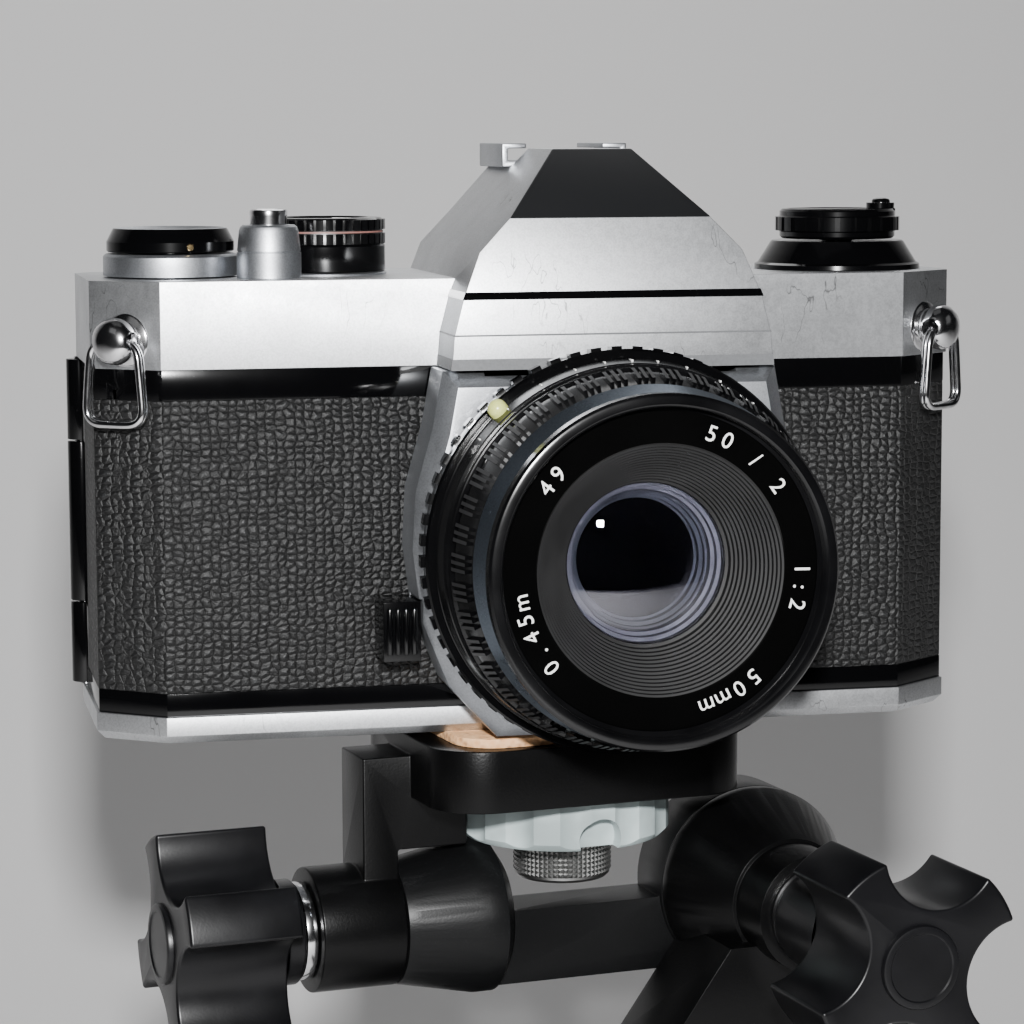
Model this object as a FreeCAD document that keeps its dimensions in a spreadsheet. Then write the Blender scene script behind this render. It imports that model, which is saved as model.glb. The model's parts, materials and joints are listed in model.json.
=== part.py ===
import FreeCAD, Part
import math
import os
import Sketcher

from FreeCAD import Placement, Rotation, Vector

# A 35 mm single-lens reflex film camera on a three-way tripod head and a short table tripod.
# Millimetres, +Z up. The camera looks towards -Y. The row's origin lies on the floor, under the
# head's pan axis and the camera screw.

doc = FreeCAD.newDocument("film_camera_on_tripod")
sheet = doc.addObject("Spreadsheet::Sheet", "sizes")
kept = []


class Size:
    """A length or angle: its number, and the spreadsheet expression that gives it."""

    def __init__(self, number, text):
        self.number = number
        self.text = text

    def __float__(self):
        return float(self.number)

    def __add__(self, other):
        return Size(float(self) + float(other), f"({self.text} + {words(other)})")

    def __radd__(self, other):
        return self + other

    def __sub__(self, other):
        return Size(float(self) - float(other), f"({self.text} - {words(other)})")

    def __rsub__(self, other):
        return Size(float(other) - float(self), f"({words(other)} - {self.text})")

    def __mul__(self, factor):
        return Size(float(self) * factor, f"({self.text} * {factor})")

    __rmul__ = __mul__

    def __truediv__(self, factor):
        return Size(float(self) / factor, f"({self.text} / {factor})")

    def __neg__(self):
        return Size(-float(self), f"(0 - {self.text})")


def words(value):
    return value.text if isinstance(value, Size) else repr(float(value))


def size(alias, number):
    """Writes one driving dimension to the spreadsheet and returns it."""
    row = size.rows = size.rows + 1
    sheet.set(f"A{row}", alias.replace("_", " "))
    sheet.set(f"B{row}", str(number))
    sheet.setAlias(f"B{row}", alias)
    return Size(number, f"sizes.{alias}")


size.rows = 0

# ---- fits
run = size("running_clearance", 0.06)        # radial, shaft in hole or ring on barrel
gap = size("moving_gap", 0.3)                # between faces that pass each other

# ---- camera body; x from the lens axis, y back from the front covering, z up from the underside
body_left = size("body_left", 77.5)
body_right = size("body_right", 60.0)
body_depth = size("body_depth", 33.4)        # front covering to the film rails
bevel_side = size("bevel_side", 9.8)         # front corner bevels, along the front
bevel_back = size("bevel_back", 7.5)         # and along the ends
base_height = size("base_height", 4.2)
band_low = size("band_low", 3.6)             # black band above the base plate
band_high = size("band_high", 4.7)           # black band under the top cover
cover_z = size("cover_z", 57.7)
shoulder = size("shoulder_height", 13.4)
cover_lip = size("cover_lip", 0.4)           # top cover and base plate stand proud by this
wall = size("wall", 1.2)
skin = size("covering_thickness", 0.8)
door_gap = size("door_gap", 0.5)
door_depth = size("door_thickness", 3.6)
rear_bevel = size("rear_bevel", 3.0)
gate_width = size("gate_width", 36.0)        # the frame of 35 mm film
gate_height = size("gate_height", 24.0)
chamber_low = size("chamber_low", 8.2)
chamber_high = size("chamber_high", 54.6)
chamber_front = size("chamber_front", 5.0)
cassette_radius = size("cassette_radius", 13.2)
take_up_left = size("take_up_left", 74.6)
take_up_right = size("take_up_right", 23.5)

# ---- prism hump
hump_front = size("hump_front", 12.3)
hump_foot = size("hump_foot", 25.2)          # half widths
hump_groove = size("hump_groove", 24.8)
hump_waist = size("hump_waist", 23.3)
hump_shoulder = size("hump_shoulder", 20.6)
panel_foot = size("panel_foot", 15.7)
ridge_half = size("ridge_half", 6.3)
groove_rise = size("groove_rise", 5.1)
waist_rise = size("waist_rise", 10.9)
hump_shoulder_rise = size("hump_shoulder_rise", 17.7)
panel_rise = size("panel_rise", 22.8)
ridge_rise = size("ridge_rise", 33.1)
panel_y = size("panel_y", 10.4)
ridge_front = size("ridge_front", 2.0)
ridge_back = size("ridge_back", 19.5)
shoe_rise = size("shoe_rise", 30.1)
panel_thickness = size("panel_thickness", 0.6)

# ---- apron and lens axis
lens_z = size("lens_z", 30.2)
flange_y = size("flange_y", 12.0)            # lens flange, in front of the covering
apron_top = size("apron_top", 26.2)          # half widths
apron_middle = size("apron_middle", 31.0)
apron_foot = size("apron_foot", 18.0)
apron_low = size("apron_low", 0.9)
apron_bevel = size("apron_bevel", 2.4)
mount_bore = size("mount_bore", 22.6)
mount_radius = size("mount_radius", 27.2)
mount_depth = size("mount_depth", 1.4)
box_half = size("mirror_box_half", 21.0)
box_low = size("mirror_box_low", 8.6)
box_back = size("mirror_box_back", 29.6)

# ---- controls on the top cover
hub_x = size("hub_x", -64.3)
hub_y = size("hub_y", 17.0)
hub_radius = size("hub_radius", 10.5)
hub_height = size("hub_height", 3.4)
post_radius = size("post_radius", 6.0)
lever_reach = size("lever_reach", 34.0)
lever_width = size("lever_width", 7.0)
cap_radius = size("cap_radius", 10.0)
cap_height = size("cap_height", 3.7)
collar_x = size("collar_x", -49.9)
collar_y = size("collar_y", 8.8)
collar_radius = size("collar_radius", 5.0)
collar_height = size("collar_height", 8.2)
button_radius = size("button_radius", 2.95)
button_rise = size("button_rise", 2.4)
button_travel = size("button_travel", 2.2)
cable_radius = size("cable_radius", 1.3)
cable_depth = size("cable_depth", 4.0)
dial_x = size("dial_x", -39.4)
dial_y = size("dial_y", 21.0)
dial_radius = size("dial_radius", 9.8)
dial_height = size("dial_height", 8.4)
dial_lift = size("dial_lift", 0.6)
rewind_x = size("rewind_x", 45.0)
rewind_y = size("rewind_y", 17.5)
rewind_base = size("rewind_base", 13.5)
rewind_neck = size("rewind_neck", 10.6)
rewind_base_height = size("rewind_base_height", 4.6)
rewind_radius = size("rewind_radius", 10.2)
rewind_height = size("rewind_height", 4.8)
rewind_shaft = size("rewind_shaft", 2.5)
rewind_lift = size("rewind_lift", 8.0)
crank_slot = size("crank_slot_depth", 2.0)
crank_thickness = size("crank_thickness", 1.3)
shoe_half = size("shoe_half", 10.3)
shoe_slot = size("shoe_slot", 9.3)           # half of the 18.6 mm slot
shoe_lip = size("shoe_lip", 6.3)
shoe_length = size("shoe_length", 18.0)

# ---- small parts of the camera
eye_half = size("eyepiece_half", 9.5)
eye_low = size("eyepiece_low", 67.0)
eye_high = size("eyepiece_high", 78.0)
eye_depth = size("eyepiece_depth", 3.4)
hinge_x = size("hinge_x", -77.4)
hinge_proud = size("hinge_proud", 1.2)
hinge_radius = size("hinge_radius", 2.2)
hinge_pin = size("hinge_pin_radius", 0.9)
hinge_low = size("hinge_low", 18.0)
hinge_high = size("hinge_high", 44.0)
base_floor = size("base_floor", 1.4)
base_chamfer = size("base_chamfer", 1.3)
socket_boss = size("socket_boss", 7.0)
battery_x = size("battery_x", -46.0)
battery_y = size("battery_y", 15.0)
battery_radius = size("battery_radius", 8.4)
release_x = size("rewind_release_x", -64.0)
release_y = size("rewind_release_y", 12.0)
release_radius = size("rewind_release_radius", 2.5)
release_rise = size("rewind_release_rise", 1.1)
shutter_shaft = size("shutter_shaft", 3.0)
lever_rest = size("wind_lever_rest", 48.0)
lever_low = size("lens_release_low", 13.2)
lever_high = size("lens_release_high", 22.4)
lever_travel = size("lens_release_travel", 2.0)
lug_radius = size("lug_radius", 3.6)
lug_reach = size("lug_reach", 5.6)
lug_eye = size("lug_eye", 1.3)
lug_rise = size("lug_rise", 4.7)
ring_stand = size("ring_stand", 3.4)
ring_wire = size("ring_wire", 0.85)
ring_side_gap = size("ring_side_gap", 1.0)
ring_foot_half = size("ring_foot_half", 5.4)
ring_drop = size("ring_drop", 13.0)
ring_bend = size("ring_bend", 2.2)
spool_x = size("spool_x", -58.0)
spool_y = size("spool_y", 19.0)
spool_radius = size("spool_radius", 7.0)
sprocket_x = size("sprocket_x", -29.6)
sprocket_inset = size("sprocket_inset", 5.4)
sprocket_radius = size("sprocket_radius", 4.6)
mirror_length = size("mirror_length", 32.0)
mirror_half = size("mirror_half", 18.0)
mirror_thickness = size("mirror_thickness", 1.4)
mirror_pivot_y = size("mirror_pivot_y", 24.0)
mirror_pivot_z = size("mirror_pivot_z", 47.5)
mirror_angle = size("mirror_angle", 45.0)

# ---- lens; y forward of the flange is negative
lens_tube = size("lens_tube", 25.0)
aperture_radius = size("aperture_radius", 31.4)
aperture_depth = size("aperture_depth", 6.2)
scale_radius = size("scale_radius", 29.6)
scale_depth = size("scale_depth", 5.6)
focus_radius = size("focus_radius", 29.0)
focus_front = size("focus_front", 27.2)
focus_depth = size("focus_depth", 8.1)
cone_radius = size("cone_radius", 26.9)
cone_front = size("cone_front", 25.5)
cone_depth = size("cone_depth", 3.6)
rim_radius = size("rim_radius", 26.2)
rim_depth = size("rim_depth", 5.0)
filter_radius = size("filter_radius", 24.2)
filter_depth = size("filter_depth", 2.8)
name_inner = size("name_inner", 18.3)
name_depth = size("name_depth", 0.7)
name_step = size("name_step", 0.6)           # ledge between filter thread and name ring
glass_radius = size("glass_radius", 12.6)
glass_recess = size("glass_recess", 9.0)
rear_glass = size("rear_glass", 10.6)
iris_hole = size("iris_hole", 6.0)
iris_y = size("iris_y", 12.0)

# ---- tripod head; x along the fore-and-aft tilt axis, z down from the camera's underside
screw_x = size("screw_x", -2.0)              # the camera's tripod socket, in the camera's own x and y
screw_y = size("screw_y", 15.0)
socket_radius = size("socket_radius", 3.175)
head_yaw = size("head_yaw", 9.0)
head_height = size("head_height", 90.0)
cork = size("cork_thickness", 1.5)
plate_left = size("plate_left", 28.0)
plate_right = size("plate_right", 24.5)
plate_half = size("plate_half", 22.0)
plate_depth = size("plate_depth", 9.8)
plate_corner = size("plate_corner", 9.0)
tilt_z = size("tilt_z", 32.5)                # both tilt axes, below the camera
boss_radius = size("boss_radius", 10.0)
boss_left = size("boss_left", 44.0)
boss_right = size("boss_right", 30.2)
arm_left = size("arm_left", 36.0)
arm_half = size("arm_half", 5.5)
web_right = size("web_right", 18.6)
web_low = size("web_low", 19.6)
wheel_radius = size("wheel_radius", 17.4)
wheel_depth = size("wheel_depth", 8.0)
wheel_top = size("wheel_top", 11.9)
screw_reach = size("screw_reach", 5.2)       # thread above the cork
screw_radius = size("screw_radius", 3.1)
screw_head = size("screw_head_radius", 8.2)
screw_head_low = size("screw_head_low", 27.2)
flare_radius = size("flare_radius", 12.6)
flare_right = size("flare_right", 16.0)
bar_half = size("bar_half", 4.9)
bar_top = size("bar_top", 31.5)
bar_low = size("bar_low", 43.5)
side_x = size("side_x", 31.2)
side_z = size("side_z", 30.0)
bell_radius = size("bell_radius", 16.0)
bell_front = size("bell_front", -6.0)
bell_back = size("bell_back", 8.0)
cone_end = size("bell_cone_end", -21.0)
collar_end = size("bell_collar_end", -30.0)
bell_collar = size("bell_collar_radius", 9.6)
shaft_radius = size("shaft_radius", 4.0)
washer_radius = size("washer_radius", 7.8)
washer_depth = size("washer_depth", 1.8)
knob_radius = size("knob_radius", 17.0)
knob_depth = size("knob_depth", 18.0)
knob_hub = size("knob_hub_radius", 8.4)
side_hub = size("side_knob_hub_length", 14.0)
tilt_hub = size("tilt_knob_hub_length", 3.0)
column_radius = size("column_radius", 24.0)
column_depth = size("column_depth", 11.0)
pan_radius = size("pan_base_radius", 29.0)
pan_depth = size("pan_base_depth", 10.0)
spigot_radius = size("spigot_radius", 10.0)
pan_knob_radius = size("pan_knob_radius", 9.5)
pan_knob_depth = size("pan_knob_depth", 13.0)
elbow_z = size("elbow_z", 54.0)
pan_screw = size("pan_screw_radius", 3.0)
pan_knob_z = size("pan_knob_z", 75.0)
wheel_notch = size("wheel_notch_radius", 3.6)

# ---- table tripod; heights from the floor
crown_top = size("crown_top", 60.0)
crown_depth = size("crown_depth", 22.0)
crown_radius = size("crown_radius", 27.0)
crown_roof = size("crown_roof", 4.0)
stud_radius = size("stud_radius", 4.7)       # 3/8 inch
stud_length = size("stud_length", 9.0)
pivot_reach = size("pivot_reach", 19.0)
pivot_z = size("pivot_z", 46.0)
eye_radius = size("eye_radius", 6.0)
pin_radius = size("pin_radius", 2.0)
leg_width = size("leg_width", 12.0)
leg_depth = size("leg_depth", 9.0)
foot_reach = size("foot_reach", 98.0)
ankle_z = size("ankle_z", 15.0)
foot_radius = size("foot_radius", 8.0)
foot_height = size("foot_height", 10.0)
foot_pin = size("foot_pin_radius", 3.5)

doc.recompute()

camera_z = crown_top + head_height
top_z = cover_z + shoulder
door_back = body_depth + door_gap + door_depth
hinge_y = body_depth + hinge_proud
sprocket_y = body_depth - sprocket_inset
lug_z = cover_z + lug_rise
ring_top_half = lug_radius + ring_side_gap
groove_z = cover_z + groove_rise
waist_z = cover_z + waist_rise
hump_shoulder_z = cover_z + hump_shoulder_rise
panel_z = cover_z + panel_rise
ridge_z = cover_z + ridge_rise
shoe_z = cover_z + shoe_rise


# ---- making and placing
def bind(thing, prop, value):
    if isinstance(value, Size):
        thing.setExpression(prop, value.text)
    else:
        setattr(thing, prop, value)


def seat(thing, base, rotation=None, turn=None):
    """Places a thing at base; turn, if given, is a bound angle about +Z."""
    numbers = [float(value) for value in base]
    angle = rotation or Rotation(Vector(0, 0, 1), float(turn or 0))
    thing.Placement = Placement(Vector(*numbers), angle)
    for name, value in zip("xyz", base):
        if isinstance(value, Size):
            thing.setExpression(f"Placement.Base.{name}", value.text)
    if turn is not None:
        thing.setExpression("Placement.Rotation.Angle", turn.text)


def keep(thing, label, frame, turn=0):
    """Names a finished sub-part and moves it from the frame it was drawn in to the row's frame."""
    thing.Label = label
    if frame == "camera":
        seat(thing, (-screw_x, -screw_y, camera_z))
    elif frame == "lens":
        seat(thing, (-screw_x, -screw_y - flange_y, camera_z + lens_z))
    elif frame == "head":
        seat(thing, (0, 0, camera_z), turn=head_yaw)
    else:
        seat(thing, (0, 0, 0), rotation=Rotation(Vector(0, 0, 1), turn))
    kept.append(thing)


AIMS = {"X": Rotation(Vector(0, 1, 0), 90), "Y": Rotation(Vector(1, 0, 0), -90), "Z": Rotation()}


def box(low, high):
    block = doc.addObject("Part::Box", "block")
    for side, start, end in zip(("Length", "Width", "Height"), low, high):
        bind(block, side, end - start)
    seat(block, low)
    return block


def spot(axis, along, across):
    first, second = across
    return {"X": (along, first, second), "Y": (first, along, second), "Z": (first, second, along)}[axis]


def rod(axis, radius, start, end, across=(0, 0)):
    """A cylinder along an axis from start to end; across gives its other two coordinates."""
    bar = doc.addObject("Part::Cylinder", "rod")
    bind(bar, "Radius", radius)
    bind(bar, "Height", end - start)
    seat(bar, spot(axis, start, across), AIMS[axis])
    return bar


def fuse(*shapes):
    whole = doc.addObject("Part::MultiFuse", "fuse")
    whole.Shapes = list(shapes)
    whole.Refine = True
    return whole


def cut(base, *tools):
    rest = doc.addObject("Part::Cut", "cut")
    rest.Base = base
    rest.Tool = tools[0] if len(tools) == 1 else fuse(*tools)
    rest.Refine = True
    return rest


def common(first, second):
    both = doc.addObject("Part::Common", "common")
    both.Base = first
    both.Tool = second
    return both


def group(*shapes):
    """Separate solids that share one node."""
    several = doc.addObject("Part::Compound", "group")
    several.Links = list(shapes)
    return several


PLANES = {"Z": "XY_Plane", "Y": "XZ_Plane", "X": "YZ_Plane"}


def outline(body, plane, points, offset=None):
    """A closed sketch of straight runs on one of a body's own planes, each corner bound."""
    sketch = body.newObject("Sketcher::SketchObject", "outline")
    face = next(f for f in body.Origin.OriginFeatures if getattr(f, "Role", "") == plane)
    sketch.AttachmentSupport = [(face, "")]
    sketch.MapMode = "FlatFace"
    if offset is not None:
        sketch.AttachmentOffset = Placement(Vector(0, 0, float(offset)), Rotation())
        if isinstance(offset, Size):
            sketch.setExpression("AttachmentOffset.Base.z", offset.text)
    spots = [Vector(float(a), float(b), 0) for a, b in points]
    count = len(spots)
    lines = [Part.LineSegment(spots[i], spots[(i + 1) % count]) for i in range(count)]
    sketch.addGeometry(lines, False)
    rules = []
    for i in range(count):
        rules.append(Sketcher.Constraint("Coincident", i, 2, (i + 1) % count, 1))
    for i, (a, b) in enumerate(points):
        rules.append(Sketcher.Constraint("DistanceX", -1, 1, i, 1, float(a)))
        rules.append(Sketcher.Constraint("DistanceY", -1, 1, i, 1, float(b)))
    sketch.addConstraint(rules)
    for i, corner in enumerate(points):
        for j, value in enumerate(corner):
            if isinstance(value, Size):
                sketch.setExpression(f"Constraints[{count + 2 * i + j}]", value.text)
    return sketch


def turned(axis, points):
    """A body of revolution about an axis; its outline's points are (radius, distance along)."""
    body = doc.addObject("PartDesign::Body", "turned")
    plane = "XZ_Plane" if axis == "Z" else "XY_Plane"
    corners = [(along, radius) for radius, along in points] if axis == "X" else points
    sketch = outline(body, plane, corners)
    spun = body.newObject("PartDesign::Revolution", "spun")
    spun.Profile = sketch
    spun.ReferenceAxis = (sketch, ["H_Axis" if axis == "X" else "V_Axis"])
    spun.Angle = 360.0
    return body


def padded(axis, points, start, end):
    """A body whose outline, drawn square to an axis, runs from start to end along it.

    Its points are (x, y) for Z, (x, z) for Y and (y, z) for X."""
    body = doc.addObject("PartDesign::Body", "padded")
    flip = axis == "Y"
    sketch = outline(body, PLANES[axis], points, -end if flip else start)
    pad = body.newObject("PartDesign::Pad", "pad")
    pad.Profile = sketch
    bind(pad, "Length", end - start)
    return body


def eased(body, radius, chosen, kind="Fillet"):
    """Rounds or chamfers the edges of a body that chosen() picks."""
    doc.recompute()
    names = [f"Edge{i + 1}" for i, edge in enumerate(body.Shape.Edges) if chosen(edge)]
    feature = body.newObject(f"PartDesign::{kind}", kind.lower())
    feature.Base = (body.Tip if body.Tip != feature else feature.BaseFeature, names)
    bind(feature, "Radius" if kind == "Fillet" else "Size", radius)
    return body


def upright(edge):
    low, high = edge.BoundBox.ZMin, edge.BoundBox.ZMax
    return high - low > 1 and edge.BoundBox.XLength < 0.01 and edge.BoundBox.YLength < 0.01


# ---- camera shells
def plan(inset, back):
    """The camera's outline seen from above, drawn in by inset, with bevelled corners."""
    left = inset - body_left
    right = body_right - inset
    near = inset * 0.34
    far = inset * 0.49
    return [(left + near + bevel_side - inset, inset), (right - near - bevel_side + inset, inset),
            (right, bevel_back + far), (right, back - rear_bevel), (right - rear_bevel, back),
            (left + rear_bevel, back), (left, back - rear_bevel), (left, bevel_back + far)]


def hump_outline(inset):
    """The prism hump seen from the front, drawn in by inset."""
    half = [(hump_foot, cover_z), (hump_groove, groove_z), (hump_waist, waist_z),
            (hump_shoulder, hump_shoulder_z), (panel_foot, panel_z), (ridge_half, ridge_z - inset)]
    right = [(x - inset, z) for x, z in half]
    left = [(inset - x, z) for x, z in reversed(half)]
    return right + left


def hump_profile(inset, recess=0):
    """The prism hump seen from the side, drawn in by inset; recess sinks the sloping panel."""
    front = inset - hump_front
    slope = inset + recess
    return [(front, cover_z), (front, waist_z), (slope - panel_y, panel_z),
            (ridge_front + slope, ridge_z - inset), (ridge_back, ridge_z - inset),
            (ridge_back + 1, shoe_z - inset), (door_back + cover_lip - inset, shoe_z - inset),
            (door_back + cover_lip - inset, cover_z)]


def hump(inset, recess=0):
    across = padded("Y", hump_outline(inset), -hump_front - 5, door_back + 5)
    along = padded("X", hump_profile(inset, recess), -hump_foot - 5, hump_foot + 5)
    return common(across, along)


def make_top_cover():
    back = door_back + cover_lip
    solid = fuse(padded("Z", plan(-cover_lip, back), cover_z, top_z), hump(0, panel_thickness))
    hollow = padded("Z", plan(wall, back - wall), cover_z - 1, top_z - wall)
    room = hump(wall, panel_thickness)
    mouth = box((wall - hump_foot, wall - hump_front, cover_z - 1),
                (hump_foot - wall, wall + 2, cover_z + 2))
    holes = [rod("Z", shutter_shaft + run, cover_z, top_z + 1, (dial_x, dial_y)),
             rod("Z", rewind_shaft + gap, cover_z, top_z + 1, (rewind_x, rewind_y)),
             rod("Z", button_radius + gap, cover_z, top_z + 1, (collar_x, collar_y)),
             box((-eye_half, door_back - 3, eye_low), (eye_half, back + 1, eye_high))]
    keep(cut(solid, hollow, room, mouth, *holes), "top_cover", "camera")


def make_prism_panel():
    across = padded("Y", hump_outline(0), -hump_front - 5, door_back + 5)
    strip = padded("X", [(-panel_y, panel_z), (ridge_front, ridge_z),
                         (ridge_front + panel_thickness, ridge_z),
                         (panel_thickness - panel_y, panel_z)], -hump_foot, hump_foot)
    keep(common(across, strip), "prism_panel", "camera")


def make_body_casting():
    core = padded("Z", plan(skin, body_depth), base_height, cover_z)
    low = padded("Z", plan(0, body_depth), base_height, base_height + band_low)
    high = padded("Z", plan(0, body_depth), cover_z - band_high, cover_z)
    out = body_depth + 1
    cassette = rod("Z", cassette_radius, chamber_low, chamber_high, (rewind_x, rewind_y))
    cassette_way = box((rewind_x - cassette_radius, rewind_y, chamber_low),
                       (rewind_x + cassette_radius, out, chamber_high))
    take_up = box((-take_up_left, chamber_front, chamber_low), (-take_up_right - 12, out, chamber_high))
    sprocket_room = box((-take_up_right - 12.5, body_depth - 11.7, chamber_low),
                        (-take_up_right, out, chamber_high))
    optics = box((-box_half - gap, -1, box_low - gap), (box_half + gap, box_back + gap, cover_z + 1))
    gate = box((gate_width / -2, box_back - 1, lens_z - gate_height / 2),
               (gate_width / 2, out, lens_z + gate_height / 2))
    slot = box((-box_half - 1, box_back, box_low + 2), (box_half + 1, box_back + 2.6, cover_z - 5))
    holes = [rod("Z", socket_radius + gap, base_height - 1, base_height + 3, (screw_x, screw_y)),
             rod("Z", rewind_shaft + gap, chamber_high - 1, cover_z + 1, (rewind_x, rewind_y)),
             rod("Z", shutter_shaft + gap, cover_z - 2, cover_z + 1, (dial_x, dial_y)),
             rod("Z", battery_radius + gap, base_height - 1, base_height + 0.6, (battery_x, battery_y)),
             rod("Z", release_radius + gap, base_height - 1, base_height + 2.5, (release_x, release_y)),
             box((body_right - 4.1, body_depth - 3.7, cover_z - 4),
                 (body_right - 1.3, out, cover_z + 1))]
    knuckles = [fuse(rod("Z", hinge_radius, low_z, high_z, (hinge_x, hinge_y)),
                     box((hinge_x, body_depth - 6, low_z), (hinge_x + hinge_radius, hinge_y, high_z)))
                for low_z, high_z in ((base_height + 0.4, hinge_low - gap),
                                      (hinge_high + gap, cover_z - 0.4))]
    pin_hole = rod("Z", hinge_pin, base_height - 1, cover_z + 1, (hinge_x, hinge_y))
    hinge_room = rod("Z", hinge_radius + gap, hinge_low - gap, hinge_high + gap, (hinge_x, hinge_y))
    whole = fuse(core, low, high, *knuckles)
    keep(cut(whole, cassette, cassette_way, take_up, sprocket_room, optics, gate, slot, pin_hole,
             hinge_room,
             *holes), "body_casting", "camera")


def make_front_coverings():
    low, high = base_height + band_low, cover_z - band_high
    sheet_round = cut(padded("Z", plan(0, body_depth), low, high),
                      padded("Z", plan(skin, body_depth + 5), low - 1, high + 1))
    middle = box((-apron_top + 3, -1, low - 1), (apron_top - 3, 5, high + 1))
    rear = box((-body_left - 1, body_depth - 7, low - 1), (body_right + 1, body_depth + 1, high + 1))
    keep(cut(sheet_round, middle, rear), "front_coverings", "camera")


def make_base_plate():
    back = door_back + cover_lip
    plate = padded("Z", plan(-cover_lip, back), 0, base_height)
    eased(plate, base_chamfer, lambda edge: edge.BoundBox.ZMax < 0.01, "Chamfer")
    hollow = padded("Z", plan(wall, back - wall), base_floor, base_height + 1)
    shell = fuse(cut(plate, hollow), rod("Z", socket_boss, base_floor - 0.5, base_height,
                                         (screw_x, screw_y)))
    holes = [rod("Z", socket_radius, -1, base_height + 1, (screw_x, screw_y)),
             rod("Z", battery_radius, -1, base_floor + 1, (battery_x, battery_y)),
             rod("Z", release_radius + run, -1, base_floor + 1, (release_x, release_y))]
    keep(cut(shell, *holes), "base_plate", "camera")
    cap = cut(rod("Z", battery_radius, 0, base_height, (battery_x, battery_y)),
              box((battery_x - battery_radius + 2, battery_y - 0.8, -1),
                  (battery_x + battery_radius - 2, battery_y + 0.8, 1)))
    keep(cap, "battery_cap", "camera")
    button = turned("Z", [(0, -release_rise), (release_radius - 0.4, -release_rise),
                          (release_radius, 0.4 - release_rise), (release_radius, 3.4), (0, 3.4)])
    keep_at(button, "rewind_release", release_x, release_y, 0)


def keep_at(thing, label, x, y, z):
    """Keeps a camera part drawn about its own axis at x, y, z in the camera's frame."""
    thing.Label = label
    seat(thing, (x - screw_x, y - screw_y, z + camera_z))
    kept.append(thing)


def make_front_casting():
    right = [(apron_top, cover_z - 0.2), (apron_top + 1.6, cover_z - 9),
             (apron_middle - 0.5, lens_z + 9),
             (apron_middle, lens_z), (apron_middle - 1.4, lens_z - 11),
             (apron_middle - 5.5, lens_z - 21),
             (apron_foot, apron_low)]
    left = [(-x, z) for x, z in reversed(right)]
    apron = padded("Y", right + left, -flange_y, -cover_lip)
    eased(apron, apron_bevel, lambda edge: edge.BoundBox.YMax < -float(flange_y) + 0.01, "Chamfer")
    outer = box((-box_half, -flange_y / 2, box_low), (box_half, box_back, cover_z - 0.5))
    inner = box((wall - box_half, 1.6 - flange_y, box_low + wall),
                (box_half - wall, box_back + 1, cover_z + 1))
    bore = rod("Y", mount_bore, -flange_y - 1, 0, (0, lens_z))
    seat_bore = rod("Y", mount_radius, -flange_y - 1, -flange_y + 0.5, (0, lens_z))
    lever_room = box((-apron_middle - 8, -flange_y + 2, lever_low - lever_travel - gap),
                     (-apron_middle + 1.5, -cover_lip - 1, lever_high + gap))
    keep(cut(fuse(apron, outer), inner, bore, seat_bore, lever_room), "front_casting", "camera")
    ring = turned("Y", [(mount_bore, 0.5), (mount_radius, 0.5), (mount_radius, -mount_depth),
                        (mount_bore - 1.2, -mount_depth), (mount_bore - 1.2, -0.4), (mount_bore, -0.4)])
    keep(ring, "mount_ring", "lens")


def make_lens_release():
    grip = box((-apron_middle - 4.6, -flange_y + 2.2, lever_low),
               (-apron_middle + 1.2, -cover_lip - 1.4, lever_high))
    keep(fuse(grip, box((-apron_middle - 3, -cover_lip - 2, lever_low + 1),
                        (-apron_middle + 1, -cover_lip - 1.2, lever_high - 1))),
         "lens_release", "camera")


def make_door():
    left = hinge_x + hinge_radius + 0.4
    right = body_right - 0.4
    front = body_depth + door_gap
    low, high = base_height + 0.4, cover_z - 0.4
    plate = padded("Z", [(left, front), (right, front), (right, door_back - rear_bevel),
                         (right - rear_bevel, door_back),
                         (left + 1, door_back), (left, door_back - 1)], low, high)
    knuckle = fuse(rod("Z", hinge_radius, hinge_low, hinge_high, (hinge_x, hinge_y)),
                   box((hinge_x, hinge_y - 0.6, hinge_low),
                       (left + 2, hinge_y + hinge_radius, hinge_high)))
    bore = rod("Z", hinge_pin + run, hinge_low - 1, hinge_high + 1, (hinge_x, hinge_y))
    panel = box((left + 5, door_back - skin, low + band_low),
                (right - 5, door_back + 1, high - band_high))
    keep(cut(fuse(plate, knuckle), bore, panel), "back_door", "camera")
    keep(fuse(box((left + 5, door_back - skin, low + band_low),
                  (right - 5, door_back, high - band_high)),
              box((left + 6, door_back - skin, low + band_low + 1),
                  (right - 6, door_back + 0.2, high - band_high - 1))),
         "door_covering", "camera")
    keep(cut(box((-gate_width / 2 - 6, front - door_gap + 0.2, lens_z - gate_height / 2 - 5),
                 (gate_width / 2 + 6, front, lens_z + gate_height / 2 + 5)),
             rod("Y", 1.2, front - 2, front + 2, (gate_width / 2 + 3, lens_z))), "pressure_plate",
         "camera")
    pin = turned("Z", [(0, base_height), (hinge_pin, base_height), (hinge_pin, cover_z), (0, cover_z)])
    keep_at(pin, "hinge_pin", hinge_x, hinge_y, 0)


def make_viewfinder():
    glass_top = ridge_z - wall - 3
    half = ridge_half + 5.4
    prism = padded("X", [(-4, cover_z - 2.6), (20, cover_z - 2.6), (25, cover_z + 6),
                         (25, cover_z + 17),
                         (14, glass_top - 4), (4, glass_top - 4), (-4, panel_z - 9)], -half, half)
    screen = box((gate_width / -2, -6, cover_z - 5.6), (gate_width / 2, 20, cover_z - 4.2))
    keep(group(prism, screen), "viewfinder_optics", "camera")
    back = door_back + cover_lip
    frame = cut(box((-eye_half - 3, back, eye_low - 2.5),
                    (eye_half + 3, back + eye_depth, eye_high + 2.5)),
                box((-eye_half + 0.5, back + 1.2, eye_low + 0.5),
                    (eye_half - 0.5, back + eye_depth + 1, eye_high - 0.5)))
    keep(frame, "eyepiece", "camera")


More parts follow.
